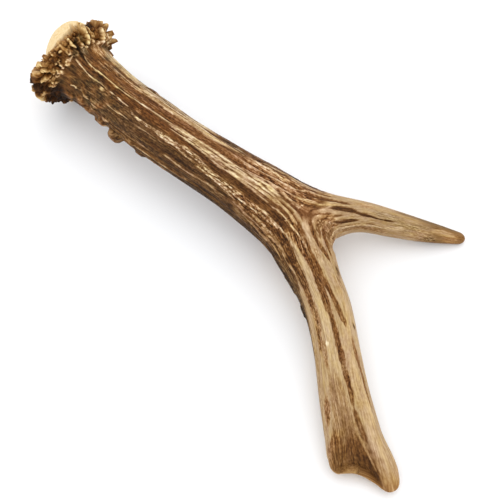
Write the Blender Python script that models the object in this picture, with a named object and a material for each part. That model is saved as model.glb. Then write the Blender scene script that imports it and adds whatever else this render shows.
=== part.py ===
"""A shed roe deer antler, lying on its side as it rests on a table.

It is one natural bone, split at its main fork into three solids: the beam with its burr, the front
tine and the upper beam. A coarse cage is laid out in rings along each arm, evened out at the fork
and rounded. Then the relief is raised on it: ridges and grooves that run along the bone, pearls, the
burr's knobs, and the hollow at the upper beam's end.

Lengths are in millimetres and angles in degrees until the meshes are made. X runs from the burr to
the tips, Y across and Z up. Every arm is described from the fork outwards. The turn of a point on an
arm is its angle round the centre line from the top, positive to the left for someone at the fork who
looks out along the arm.
"""

import math
import random

import bmesh
import bpy
import numpy as np
from mathutils import Vector, noise

MM = 0.001

# ---- the fork, where the three centre lines meet ------------------------------------------------
FORK = (12.0, 32.0, 16.0)
FORK_HALF_DEPTH = 10.6
# How far along each arm the bays between the arms fade out.
FORK_BLEND = 26.0
# The bays: bearing from the fork's centre, and reach from there to the surface.
OUTER = {"bearing": -83.0, "reach": 17.0}
SHOULDER = {"bearing": 123.0, "reach": 15.8}
CROTCH = {"bearing": 18.0, "reach": 12.0}

# ---- centre lines from the fork outwards: x, y, z, half width, half depth -----------------------
BEAM_LINE = (
    (-5.0, 26.2, 17.3, 13.0, 10.9),
    (-20.9, 20.7, 18.1, 11.8, 10.7),
    (-38.7, 14.4, 18.9, 11.3, 10.6),
    (-57.5, 8.6, 19.5, 11.2, 10.8),
    (-76.3, 4.1, 19.8, 10.8, 10.8),
    (-85.2, 2.4, 19.9, 11.2, 11.2),
)
TINE_LINE = (
    (15.4, 42.0, 14.6, 9.0, 8.2),
    (17.3, 48.0, 13.0, 7.9, 7.2),
    (19.6, 53.3, 11.5, 6.8, 6.4),
    (26.5, 62.3, 8.8, 5.4, 5.2),
    (34.4, 70.9, 6.1, 4.4, 4.3),
    (40.2, 77.7, 4.0, 3.3, 3.3),
    (43.8, 82.0, 2.7, 2.4, 2.5),
)
CROWN_LINE = (
    (21.0, 27.0, 15.0, 10.9, 9.4),
    (29.0, 24.1, 13.7, 9.4, 8.6),
    (44.0, 19.9, 11.9, 8.6, 7.8),
    (58.4, 13.3, 10.2, 8.3, 7.2),
    (72.1, 6.1, 8.6, 9.0, 6.6),
    (85.0, 0.2, 6.9, 9.9, 6.0),
)

# ---- the arms' ends -----------------------------------------------------------------------------
# The burr and the seal in profile, from the beam's end: distance along the beam, radius.
BURR_PROFILE = (
    (0.0, 11.2),
    (3.2, 11.5),
    (6.2, 12.2),
    (8.8, 13.8),
    (10.6, 16.0),
    (12.8, 17.6),
    (15.0, 16.9),
    (16.8, 14.8),
    (18.0, 13.5),
    (20.0, 12.8),
    (23.0, 11.2),
    (25.6, 8.2),
    (27.2, 4.3),
    (27.7, 0.0),
)
# The burr's far side stands further out by this slope, which grows to full over this distance.
BURR_SKEW = 0.17
BURR_SKEW_LENGTH = 10.0
# The seal sits off the burr's middle, across and up, and moves there between these distances.
SEAL_SHIFT = (-2.8, 1.5)
SEAL_SHIFT_START = 14.0
SEAL_SHIFT_LENGTH = 9.0
# The tine's round tip: how long it is, and where its rings are on its quarter circle.
TINE_TIP_LENGTH = 3.2
TINE_TIP_SWING = (20.0, 40.0, 58.0, 75.0, 90.0)
# The upper beam's blunt end, from its far side (-1) to the tine's side (1): how far it reaches past
# the last station there, and how far across from the centre line.
CROWN_END = (
    (-1.0, 9.0, -10.3),
    (-0.7, 14.2, -8.8),
    (-0.35, 14.2, -4.8),
    (0.0, 16.4, -1.0),
    (0.35, 20.0, 3.6),
    (0.7, 25.0, 8.8),
    (1.0, 20.5, 13.8),
)
CROWN_END_SHARES = (0.14, 0.28, 0.42, 0.55, 0.67, 0.78, 0.87, 0.94, 0.985, 1.0)
CROWN_EDGE_SHARPNESS = 4.0

# ---- relief -------------------------------------------------------------------------------------
# The grain is a circle of this radius round the beam. Each ridge keeps its place on it.
GRAIN_RADIUS = 10.0
RIDGE_WIDTH = 3.4
RIDGE_LENGTH = 48.0
FINE_RIDGE_WIDTH = 1.4
FINE_RIDGE_LENGTH = 24.0
# How high the ridges stand on each arm, at the fork and, for the upper two, at the tip.
BEAM_RIDGES = 0.9
CROWN_RIDGES = (0.55, 0.2)
TINE_RIDGES = (0.45, 0.06)
BURR_RIDGES = 0.4
# The hollow on top of the upper beam: where it starts, how long it takes to reach its full depth,
# its depth, the turn of its middle, and how far it spreads to each side at its start and end.
HOLLOW = {"start": 50.0, "length": 44.0, "depth": 2.6, "turn": -10.0, "spread": (8.0, 46.0)}
# The burr's knobs stand in rows round it: how many, length from the beam's end, radius, height.
KNOB_ROWS = (
    (17, 9.4, 1.5, 0.8),
    (25, 12.0, 2.0, 2.0),
    (30, 14.6, 2.2, 3.3),
    (27, 17.2, 2.0, 2.7),
    (24, 19.4, 1.5, 1.5),
)
KNOB_SIZES = (0.78, 1.12)
KNOB_STRETCH = (1.0, 1.5)
KNOB_WANDER = 0.9
# The seal is smooth from this length on, and its edge is this wide.
SEAL_START = 21.0
SEAL_EDGE = 2.5
# The lower beam's pearls: length from the fork, turn, radius, height.
PEARLS = (
    (81.0, 113.0, 3.0, 3.2),
    (69.0, 118.0, 2.4, 1.3),
    (74.0, 88.0, 1.9, 0.9),
    (86.0, 76.0, 2.1, 1.1),
    (91.0, 58.0, 1.8, 1.0),
    (89.0, 100.0, 2.1, 1.3),
    (63.0, 140.0, 2.1, 1.2),
    (77.0, 150.0, 2.3, 1.4),
    (56.0, 108.0, 1.9, 0.8),
    (93.0, 128.0, 2.1, 1.3),
    (85.0, 170.0, 2.0, 1.0),
    (48.0, 128.0, 2.0, 0.8),
)
PEARL_STRETCH = 1.3
SEED = 11

# ---- mesh ---------------------------------------------------------------------------------------
SIDE_POINTS = 28
RING_SPACING = 3.0
BURR_SPACING = 1.5
RELAX_STEPS = 14
RELAX_REACH = 30.0
TRIANGLES = 9000
SMOOTH_ANGLE = 50.0
# Where the tine and the upper beam part from the beam: a point on the cut, its outward direction.
TINE_CUT = ((16.8, 47.0, 13.0), (0.36, 0.92, -0.15))
CROWN_CUT = ((27.5, 24.5, 13.9), (0.90, -0.42, -0.13))
KERF = 0.3
# The middle of the antler seen from above, at the height of the table. It becomes the origin.
MIDDLE = (-1.005, 31.99, 0.5)

# A point's place on the bone: where it is on the grain's circle, its length from the fork, and how
# far it belongs to the beam, the tine and the upper beam. At the fork it belongs to none of them.
GRAIN_X, GRAIN_Y, LENGTH, ON_BEAM, ON_TINE, ON_CROWN = range(6)


def hermite(marks, rows, at):
    """The smooth curve through these rows at their marks, read at each place in at."""
    marks, rows = np.array(marks, float), np.array(rows, float)
    slopes = np.gradient(rows, marks, axis=0)
    index = np.clip(np.searchsorted(marks, at, side="right") - 1, 0, len(marks) - 2)
    gap = (marks[index + 1] - marks[index])[:, None]
    u = (at[:, None] - marks[index][:, None]) / gap
    leave, arrive = slopes[index] * gap, slopes[index + 1] * gap
    return (
        rows[index] * (2 * u**3 - 3 * u**2 + 1)
        + leave * (u**3 - 2 * u**2 + u)
        + rows[index + 1] * (3 * u**2 - 2 * u**3)
        + arrive * (u**3 - u**2)
    )


def path_marks(rows):
    """The length along a row of points, at each point."""
    return np.concatenate([[0.0], np.cumsum(np.linalg.norm(np.diff(rows, axis=0), axis=1))])


def unit(rows):
    """The rows, each scaled to a length of one."""
    return rows / np.linalg.norm(rows, axis=-1, keepdims=True)


def ring_turns():
    """The turn of each point of a ring: from the top down the left side and up the right side."""
    turns = math.pi * np.arange(2 * SIDE_POINTS) / SIDE_POINTS
    return np.where(turns > math.pi, turns - 2 * math.pi, turns)


def side_turns():
    """The turns down one side of a ring, without its top and bottom."""
    return math.pi * np.arange(1, SIDE_POINTS) / SIDE_POINTS


def bay_reach(bay):
    """From the fork's centre to the middle of the bay between two arms."""
    bearing = math.radians(bay["bearing"])
    return np.array((math.cos(bearing), math.sin(bearing), 0.0)) * bay["reach"]


def bay_arc(bay):
    """The points down the middle of a bay, without its top and bottom."""
    turns = side_turns()
    up = np.array((0.0, 0.0, FORK_HALF_DEPTH))
    return np.array(FORK) + np.outer(np.sin(turns), bay_reach(bay)) + np.outer(np.cos(turns), up)


def arm_rings(line, left_bay, right_bay):
    """The rings of one arm, the length at each, and its end's centre, outward, left and up."""
    stations = np.array(((*FORK, line[0][3], FORK_HALF_DEPTH), *line))
    marks = path_marks(stations[:, :3])
    lengths = np.linspace(0.0, marks[-1], round(marks[-1] / RING_SPACING) + 1)
    rows = hermite(marks, stations, lengths)
    centres, half_widths, half_depths = rows[:, :3], rows[:, 3, None], rows[:, 4, None]
    out = unit(np.gradient(centres, axis=0))
    left = unit(np.cross((0.0, 0.0, 1.0), out))
    up = np.cross(out, left)
    turns = ring_turns()
    rings = (
        centres[:, None]
        + left[:, None] * (half_widths * np.sin(turns))[..., None]
        + up[:, None] * (half_depths * np.cos(turns))[..., None]
    )
    fade = np.clip(1 - lengths / FORK_BLEND, 0, 1) ** 2
    for bay, side in ((left_bay, 1.0), (right_bay, -1.0)):
        shift = bay_reach(bay) - side * left[0] * half_widths[0]
        share = np.clip(side * np.sin(turns), 0, 1)
        rings += fade[:, None, None] * share[None, :, None] * shift
    return rings[1:], lengths[1:], (centres[-1], out[-1], left[-1], up[-1])


def end_rings(end, along, across, upwards):
    """Rings past an arm's end, from each point's distances out, to the left and up."""
    centre, out, left, up = end
    return (
        centre
        + along[..., None] * out
        + across[..., None] * left
        + upwards[..., None] * up
    )


def burr(end):
    """The burr's and the seal's rings, and the length that each adds. The last is one point."""
    profile = np.array(BURR_PROFILE)
    marks = path_marks(profile)
    added = np.linspace(0.0, marks[-1], round(marks[-1] / BURR_SPACING) + 1)[1:]
    reach, radius = hermite(marks, profile, added).T[..., None]
    radius[-1] = 0.0
    turns = ring_turns()
    across, upwards = radius * np.sin(turns), radius * np.cos(turns)
    skew = BURR_SKEW * np.clip(reach / BURR_SKEW_LENGTH, 0, 1)
    shift = np.clip((reach - SEAL_SHIFT_START) / SEAL_SHIFT_LENGTH, 0, 1)
    return end_rings(
        end,
        reach + skew * np.maximum(across, 0),
        across + SEAL_SHIFT[0] * shift,
        upwards + SEAL_SHIFT[1] * shift,
    ), added


def tine_tip(end):
    """The rings of the tine's round tip, and the length that each adds."""
    half_width, half_depth = TINE_LINE[-1][3:]
    swing = np.radians(TINE_TIP_SWING)[:, None]
    turns = ring_turns()
    along = TINE_TIP_LENGTH * np.sin(swing) * np.ones_like(turns)
    across = half_width * np.cos(swing) * np.sin(turns)
    upwards = half_depth * np.cos(swing) * np.cos(turns)
    return end_rings(end, along, across, upwards), along[:, 0]


def crown_end(end):
    """The rings of the upper beam's blunt end, closed to an edge, and the length that each adds."""
    half_width, half_depth = CROWN_LINE[-1][3:]
    turns = ring_turns()
    ends = np.array(CROWN_END)
    reach, offset = hermite(ends[:, 0], ends[:, 1:], np.sin(turns)).T
    share = np.array(CROWN_END_SHARES)[:, None]
    ease = share**2 * (3 - 2 * share)
    across = half_width * np.sin(turns) * (1 - ease) + offset * ease
    upwards = half_depth * np.cos(turns) * np.sqrt(1 - share**CROWN_EDGE_SHARPNESS)
    return end_rings(end, share * reach, across, upwards), share[:, 0] * reach.mean()


def grain(turns, bay):
    """Where points of these turns lie on the grain's circle. The crotch's side crosses it."""
    turns = np.abs(turns)
    if bay is CROTCH:
        return np.stack([GRAIN_RADIUS * (1 - 2 * turns / math.pi), 0 * turns], axis=-1)
    side = 1.0 if bay is OUTER else -1.0
    return GRAIN_RADIUS * np.stack([np.cos(turns), side * np.sin(turns)], axis=-1)


def fork_points():
    """The fork's top, bottom and bay arcs, their places, and where each arc is in the list."""
    ends = ((0.0, 0.0, FORK_HALF_DEPTH), (0.0, 0.0, -FORK_HALF_DEPTH))
    points = [np.array(FORK) + ends]
    grains = [np.array(((GRAIN_RADIUS, 0.0), (-GRAIN_RADIUS, 0.0)))]
    arcs = []
    for number, bay in enumerate((OUTER, SHOULDER, CROTCH)):
        points.append(bay_arc(bay))
        grains.append(grain(side_turns(), bay))
        arcs.append(len(ends) + number * (SIDE_POINTS - 1) + np.arange(SIDE_POINTS - 1))
    points, grains = np.vstack(points), np.vstack(grains)
    return points, np.hstack([grains, np.zeros((len(points), 4))]), arcs


def ring_faces(rows):
    """The faces between rows of point numbers. A number that repeats in a face is left out."""
    faces = []
    for near, far in zip(rows[:-1], rows[1:]):
        sides = zip(near, far, np.roll(far, -1), np.roll(near, -1))
        faces += [list(dict.fromkeys(corners)) for corners in sides]
    return faces


def cage():
    """The coarse cage: its points, its faces and its points' places."""
    points, places, (outer, shoulder, crotch) = fork_points()
    arms = (
        (ON_BEAM, BEAM_LINE, (OUTER, outer), (SHOULDER, shoulder), burr),
        (ON_TINE, TINE_LINE, (SHOULDER, shoulder), (CROTCH, crotch), tine_tip),
        (ON_CROWN, CROWN_LINE, (CROTCH, crotch), (OUTER, outer), crown_end),
    )
    turns = ring_turns()
    faces = []
    for arm, line, (left_bay, left_arc), (right_bay, right_arc), finish in arms:
        rings, lengths, end = arm_rings(line, left_bay, right_bay)
        last_rings, added = finish(end)
        rings = np.concatenate([rings, last_rings])
        lengths = np.concatenate([lengths, lengths[-1] + added])
        place = np.zeros((*rings.shape[:2], 6))
        on_left = (turns >= 0)[:, None]
        place[..., : GRAIN_Y + 1] = np.where(on_left, grain(turns, left_bay), grain(turns, right_bay))
        place[..., LENGTH] = lengths[:, None]
        place[..., arm] = 1.0
        numbers = len(points) + np.arange(place[..., 0].size).reshape(place.shape[:2])
        if arm == ON_CROWN:
            mirrored = numbers[-1][SIDE_POINTS - np.arange(2 * SIDE_POINTS)]
            numbers[-1] = np.minimum(numbers[-1], mirrored)
        else:
            numbers[-1] = numbers[-1][0]
        join = np.concatenate([[0], left_arc, [1], right_arc[::-1]])
        faces += ring_faces(np.vstack([join, numbers]))
        points = np.vstack([points, rings.reshape(-1, 3)])
        places = np.vstack([places, place.reshape(-1, 6)])
    used, renumbered = np.unique(np.concatenate(faces), return_inverse=True)
    starts = np.cumsum([len(face) for face in faces])[:-1]
    faces = [face.tolist() for face in np.split(renumbered.reshape(-1), starts)]
    return points[used], faces, places[used]


def relax(points, faces, places):
    """The cage's points evened out round the fork, so that the arms flow into each other."""
    pairs = np.array([pair for face in faces for pair in zip(face, face[1:] + face[:1])])
    pairs = np.unique(np.sort(pairs, axis=1), axis=0)
    both = np.concatenate([pairs, pairs[:, ::-1]])
    counts = np.bincount(both[:, 0], minlength=len(points))[:, None]
    weight = 0.6 * np.clip(1 - places[:, LENGTH, None] / RELAX_REACH, 0, 1) ** 1.5
    for _ in range(RELAX_STEPS):
        total = np.zeros_like(points)
        np.add.at(total, both[:, 0], points[both[:, 1]])
        points = points + weight * (total / counts - points)
    return points


def modified(mesh, kind, **settings):
    """The mesh as a modifier of this kind leaves it, as a bmesh. The mesh itself is removed."""
    guide = bpy.data.objects.new("guide", mesh)
    bpy.context.scene.collection.objects.link(guide)
    modifier = guide.modifiers.new(kind, kind)
    for name, value in settings.items():
        setattr(modifier, name, value)
    bpy.context.view_layer.update()
    form = bmesh.new()
    form.from_mesh(guide.evaluated_get(bpy.context.evaluated_depsgraph_get()).to_mesh())
    bpy.data.objects.remove(guide)
    bpy.data.meshes.remove(mesh)
    return form


def rounded(points, faces, places):
    """The cage rounded by subdivision, as a bmesh, and its points' places."""
    mesh = bpy.data.meshes.new("cage")
    mesh.from_pydata(points.tolist(), [], faces)
    names = [f"place_{column}" for column in range(places.shape[1])]
    for name, column in zip(names, places.T):
        layer = mesh.attributes.new(name, "FLOAT", "POINT")
        layer.data.foreach_set("value", column.astype(np.float32))
    form = modified(mesh, "SUBSURF", levels=1, render_levels=1)
    layers = [form.verts.layers.float[name] for name in names]
    return form, np.array([[vertex[layer] for layer in layers] for vertex in form.verts])


def waves(places, width, length, start):
    """Noise that is stretched along the grain, from about -1 to 1."""
    rows = places[:, [GRAIN_X, GRAIN_Y, LENGTH]] / (width, width, length) + (start, 0.0, 0.0)
    return 1.6 * np.array([noise.noise(Vector(row)) for row in rows])


def bumps(points, lengths, spots):
    """The highest of a set of round bumps at each point.

    A spot is the bump's middle, its length from the fork, its radius, its height and its stretch.
    """
    best = np.zeros(len(points))
    for middle, length, radius, height, stretch in spots:
        along = (lengths - length) ** 2
        across = np.maximum(np.sum((points - middle) ** 2, axis=1) - along, 0)
        away = (across + along / stretch**2) / radius**2
        best = np.maximum(best, height * np.sqrt(np.clip(1 - away, 0, 1)))
    return best


def knobs_and_pearls(points, places, beam_length):
    """The spots of the burr's knobs and of the lower beam's pearls."""

    def beam_point(length, turn):
        x, y = GRAIN_RADIUS * math.cos(turn), GRAIN_RADIUS * math.sin(turn)
        away = np.linalg.norm(places[:, [GRAIN_X, GRAIN_Y, LENGTH]] - (x, y, length), axis=1)
        return points[np.argmin(np.where(places[:, ON_BEAM] > 0.5, away, np.inf))]

    chance = random.Random(SEED)
    spots = []
    for count, row, radius, height in KNOB_ROWS:
        for number in range(count):
            turn = 2 * math.pi * (number + chance.uniform(-0.3, 0.3)) / count
            length = beam_length + row + chance.uniform(-KNOB_WANDER, KNOB_WANDER)
            size, stretch = chance.uniform(*KNOB_SIZES), chance.uniform(*KNOB_STRETCH)
            middle = beam_point(length, turn)
            spots.append((middle, length, radius * size, height * size, stretch))
    for length, turn, radius, height in PEARLS:
        middle = beam_point(length, math.radians(turn))
        spots.append((middle, length, radius, height, PEARL_STRETCH))
    return spots


def hollow(places):
    """How deep the hollow on top of the upper beam is at each point."""
    x, y = places[:, GRAIN_X], places[:, GRAIN_Y]
    turn = np.degrees(np.where(y > 0, -np.arctan2(y, x), math.pi / 2 * (1 - x / GRAIN_RADIUS)))
    ramp = np.clip((places[:, LENGTH] - HOLLOW["start"]) / HOLLOW["length"], 0, 1)
    narrow, wide = HOLLOW["spread"]
    away = (turn - HOLLOW["turn"] * ramp) / (narrow + (wide - narrow) * ramp)
    return places[:, ON_CROWN] * HOLLOW["depth"] * ramp**1.5 * np.clip(1 - away**2, 0, 1)


def ridges(places, beam_length):
    """How high the ridges and how deep the grooves are at each point."""
    beam, tine, crown = places[:, ON_BEAM], places[:, ON_TINE], places[:, ON_CROWN]
    length = places[:, LENGTH]
    towards_tip = np.clip(length / beam_length, 0, 1)
    on_burr = beam * np.clip((length - beam_length) / 6, 0, 1)
    on_seal = beam * np.clip((length - beam_length - SEAL_START) / SEAL_EDGE, 0, 1)
    strength = (
        (1 - tine - crown) * BEAM_RIDGES
        + crown * (CROWN_RIDGES[0] + (CROWN_RIDGES[1] - CROWN_RIDGES[0]) * towards_tip)
        + tine * np.maximum(TINE_RIDGES[0] * (1 - 2 * towards_tip), TINE_RIDGES[1])
    )
    strength *= (1 - (1 - BURR_RIDGES) * on_burr) * (1 - on_seal)
    signed = places.copy()
    signed[:, LENGTH] *= 1 - 2 * beam
    # Thin crests stand where the noise passes through nought, with wide grooves between them.
    crest = 1 - 2 * np.minimum(np.abs(waves(signed, RIDGE_WIDTH, RIDGE_LENGTH, 0.0)), 1.0)
    fine = waves(signed, FINE_RIDGE_WIDTH, FINE_RIDGE_LENGTH, 31.0)
    return strength * (0.5 * crest + 0.25 * fine)


def raise_relief(form, places):
    """Moves the rounded cage's points out and in, along the surface's own directions."""
    form.normal_update()
    points = np.array([vertex.co for vertex in form.verts])
    normals = np.array([vertex.normal for vertex in form.verts])
    centres = np.array([FORK, *[station[:3] for station in BEAM_LINE]])
    beam_length = path_marks(centres)[-1]
    spots = knobs_and_pearls(points, places, beam_length)
    raised = bumps(points, places[:, LENGTH], spots) * (places[:, ON_BEAM] > 0.5)
    height = raised + ridges(places, beam_length) - hollow(places)
    for vertex, point in zip(form.verts, points + normals * height[:, None]):
        vertex.co = point


def thinned(form):
    """The raised surface as one mesh of few triangles."""
    mesh = bpy.data.meshes.new("surface")
    form.to_mesh(mesh)
    ratio = TRIANGLES / sum(len(face.verts) - 2 for face in form.faces)
    form.free()
    return modified(mesh, "DECIMATE", ratio=ratio)


def cut(form, point, direction):
    """Cuts away what lies ahead of the plane, and closes the cut."""
    everything = [*form.verts, *form.edges, *form.faces]
    line = bmesh.ops.bisect_plane(
        form, geom=everything, plane_co=point, plane_no=direction, clear_outer=True
    )["geom_cut"]
    edges = [part for part in line if isinstance(part, bmesh.types.BMEdge)]
    lids = bmesh.ops.holes_fill(form, edges=edges, sides=0)["faces"]
    bmesh.ops.triangulate(form, faces=lids)


def surface_material(name, colour, roughness):
    """A dull natural surface of one colour."""
    material = bpy.data.materials.new(name)
    material.use_nodes = True
    shader = material.node_tree.nodes["Principled BSDF"]
    shader.inputs["Base Color"].default_value = (*colour, 1.0)
    shader.inputs["Roughness"].default_value = roughness
    shader.inputs["Metallic"].default_value = 0.0
    return material


def solid(name, whole, cuts, material):
    """One of the antler's solids, cut from the whole, centred and in metres."""
    form = whole.copy()
    for point, direction in cuts:
        cut(form, point, direction)
    for vertex in form.verts:
        vertex.co = (vertex.co - Vector(MIDDLE)) * MM
    mesh = bpy.data.meshes.new(name)
    form.to_mesh(mesh)
    form.free()
    mesh.shade_smooth()
    mesh.set_sharp_from_angle(angle=math.radians(SMOOTH_ANGLE))
    mesh.materials.append(material)
    bpy.context.scene.collection.objects.link(bpy.data.objects.new(name, mesh))


def both_sides(point, direction):
    """The two cuts that part an arm from the beam: the beam's, then the arm's."""
    middle, away = Vector(point), Vector(direction).normalized()
    gap = away * KERF / 2
    return (middle - gap, away), (middle + gap, -away)


def main():
    """Builds the antler's three solids."""
    for item in list(bpy.data.objects):
        bpy.data.objects.remove(item)
    points, faces, places = cage()
    form, places = rounded(relax(points, faces, places), faces, places)
    raise_relief(form, places)
    whole = thinned(form)
    cut(whole, MIDDLE, (0.0, 0.0, -1.0))
    beam_at_tine, tine = both_sides(*TINE_CUT)
    beam_at_crown, crown = both_sides(*CROWN_CUT)
    ridged = surface_material("ridged brown antler", (0.19, 0.095, 0.04), 0.6)
    worn = surface_material("worn tan antler", (0.42, 0.29, 0.15), 0.48)
    streaked = surface_material("streaked tan antler", (0.38, 0.25, 0.12), 0.52)
    solid("beam", whole, (beam_at_tine, beam_at_crown), ridged)
    solid("front_tine", whole, (tine,), worn)
    solid("upper_beam", whole, (crown,), streaked)
    whole.free()


if __name__ == "__main__":
    main()
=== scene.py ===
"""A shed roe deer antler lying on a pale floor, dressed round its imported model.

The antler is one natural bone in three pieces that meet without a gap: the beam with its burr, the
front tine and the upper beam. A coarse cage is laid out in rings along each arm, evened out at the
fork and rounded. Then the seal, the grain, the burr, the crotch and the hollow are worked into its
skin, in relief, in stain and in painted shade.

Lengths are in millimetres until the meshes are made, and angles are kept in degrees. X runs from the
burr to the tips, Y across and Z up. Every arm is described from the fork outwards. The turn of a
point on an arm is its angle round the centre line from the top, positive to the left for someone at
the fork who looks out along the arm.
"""

import logging
import math
import random
from collections.abc import Callable
from dataclasses import dataclass
from enum import Enum
from typing import Any

import bmesh
import bpy
import numpy as np
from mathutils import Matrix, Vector, noise


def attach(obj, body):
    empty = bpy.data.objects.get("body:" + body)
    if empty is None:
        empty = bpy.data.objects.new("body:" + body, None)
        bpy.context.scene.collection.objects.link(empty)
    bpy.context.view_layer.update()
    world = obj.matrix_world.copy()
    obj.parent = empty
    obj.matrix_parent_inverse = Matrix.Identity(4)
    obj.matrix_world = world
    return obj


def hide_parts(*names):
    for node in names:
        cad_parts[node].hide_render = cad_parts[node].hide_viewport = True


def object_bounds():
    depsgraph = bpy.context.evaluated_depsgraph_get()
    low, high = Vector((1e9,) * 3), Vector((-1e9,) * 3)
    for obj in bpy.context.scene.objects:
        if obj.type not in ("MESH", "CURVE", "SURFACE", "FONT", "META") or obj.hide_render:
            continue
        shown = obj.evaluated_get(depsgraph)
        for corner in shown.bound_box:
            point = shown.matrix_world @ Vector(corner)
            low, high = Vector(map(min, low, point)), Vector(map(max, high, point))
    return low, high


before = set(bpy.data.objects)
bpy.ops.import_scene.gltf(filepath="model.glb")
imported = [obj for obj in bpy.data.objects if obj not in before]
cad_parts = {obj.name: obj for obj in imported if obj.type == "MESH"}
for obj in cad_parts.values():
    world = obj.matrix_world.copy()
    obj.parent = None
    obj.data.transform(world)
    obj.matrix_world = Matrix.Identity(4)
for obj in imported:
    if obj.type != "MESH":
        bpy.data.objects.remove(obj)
cad_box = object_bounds()

log = logging.getLogger("antler")
Array = np.ndarray
Point = tuple[float, float, float]
Pair = tuple[float, float]
Rows = tuple[tuple[float, ...], ...]
Stops = tuple[tuple[float, str], ...]

MM = 0.001
# What the skin tells the finish at each point, beside its place along the grain.
SHADES = ("tone", "warmth", "ochre", "mottle", "seal")
# A place on the grain's circle that is nearer its level line than this counts as on it.
FLAT = 1e-4
# Blender's noise stays within about 0.6 of zero. This stretches it to about 1.
NOISE_SCALE = 1.6
# The middle of the antler seen from above, at the height of the floor. It becomes the origin.
MIDDLE = np.array((-1.005, 31.99, 0.5))


# ---- small tools -----------------------------------------------------
def hermite(marks: Array, rows: Array | Rows, at: Array) -> Array:
    """The smooth curve through rows of numbers.

    Args:
        marks: the place of each row along the curve, rising.
        rows: one row of numbers for each mark.
        at: the places to read.

    Returns:
        One row for each place in at.
    """
    marks, rows = np.array(marks, float), np.array(rows, float)
    slopes = np.gradient(rows, marks, axis=0)
    index = np.clip(np.searchsorted(marks, at, side="right") - 1, 0, len(marks) - 2)
    gap = (marks[index + 1] - marks[index])[:, None]
    u = (at[:, None] - marks[index][:, None]) / gap
    leave, arrive = slopes[index] * gap, slopes[index + 1] * gap
    return (
        rows[index] * (2 * u**3 - 3 * u**2 + 1)
        + leave * (u**3 - 2 * u**2 + u)
        + rows[index + 1] * (3 * u**2 - 2 * u**3)
        + arrive * (u**3 - u**2)
    )


def path_marks(rows: Array) -> Array:
    """The length along a row of points, at each point."""
    return np.concatenate([[0.0], np.cumsum(np.linalg.norm(np.diff(rows, axis=0), axis=1))])


def unit(rows: Array) -> Array:
    """The rows, each scaled to a length of one."""
    return rows / np.linalg.norm(rows, axis=-1, keepdims=True)


def ease(low: Array | float, high: Array | float, at: Array) -> Array:
    """Rises smoothly from 0 at low to 1 at high."""
    u = np.clip((at - low) / (high - low), 0, 1)
    return u * u * (3 - 2 * u)


def between(ends: Pair, outside: float, inside: float, at: Array) -> Array:
    """1 between the ends, and 0 past them. It changes from outside to inside of each end."""
    first, last = ends
    return ease(first - outside, first + inside, at) * (1 - ease(last - inside, last + outside, at))


def mixed(under: Array | float, over: Array | float, share: Array) -> Array:
    """Under, covered by over where share is 1."""
    return under + (over - under) * share


def wrapped(turns: Array | float) -> Array | float:
    """The same turns, from -180 to 180."""
    return (turns + 180) % 360 - 180


def ring_turns(count: int) -> Array:
    """The turns of a ring's points in radians, from the top down the left side and up the right."""
    turns = 2 * math.pi * np.arange(count) / count
    return np.where(turns > math.pi, turns - 2 * math.pi, turns)


def add_object(name: str, data: bpy.types.ID) -> bpy.types.Object:
    """Adds an object to the scene.

    Args:
        name: its name.
        data: its mesh, lamp or camera.

    Returns:
        The object.
    """
    item = bpy.data.objects.new(name, data)
    bpy.context.scene.collection.objects.link(item)
    return item


def write_values(mesh: bpy.types.Mesh, name: str, values: Array) -> None:
    """Keeps values with a mesh, as an attribute of its points.

    Args:
        mesh: the mesh.
        name: the attribute's name.
        values: one number for each point, or a row of three.
    """
    kind, field = ("FLOAT", "value") if values.ndim == 1 else ("FLOAT_VECTOR", "vector")
    layer = mesh.attributes.new(name, kind, "POINT")
    layer.data.foreach_set(field, values.astype(np.float32).reshape(-1))


def read_values(items: bpy.types.bpy_prop_collection, name: str, width: int) -> Array:
    """Reads a value of each of a mesh's items.

    Args:
        items: the items, such as its points.
        name: the value's name.
        width: how many numbers it holds.

    Returns:
        One row of that many numbers for each item.
    """
    values = np.empty(width * len(items), np.float32)
    items.foreach_get(name, values)
    return values.reshape(-1, width).astype(float)


# ---- the fork and its bays -------------------------------------------
@dataclass(frozen=True)
class Fork:
    """The fork, where the three centre lines meet, and how finely the cage is laid out.

    Attributes:
        centre: where the lines meet.
        half_depth: half the bone's depth there.
        radius: the bone's mean radius there.
        blend: the length over which the arms leave the bays' outline for their own.
        relax_steps: how many times the cage is evened out.
        relax_reach: how far along the arms that reaches.
        relax_pull: how far a point at the fork moves towards its neighbours' mean each time.
        relax_fall: the power by which this falls off along the arms.
        side_points: the steps from the top of a ring to its bottom.
    """

    centre: Point = (12.0, 32.0, 16.0)
    half_depth: float = 10.6
    radius: float = 12.5
    blend: float = 26.0
    relax_steps: int = 14
    relax_reach: float = 30.0
    relax_pull: float = 0.6
    relax_fall: float = 1.5
    side_points: int = 28

    def side_turns(self) -> Array:
        """The turns down one side of a ring in radians, without its top and bottom."""
        return ring_turns(2 * self.side_points)[1 : self.side_points]


FORK = Fork()
# The grain is a circle of this radius round the beam. Each ridge keeps its place on it.
GRAIN_RADIUS = 10.0


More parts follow.
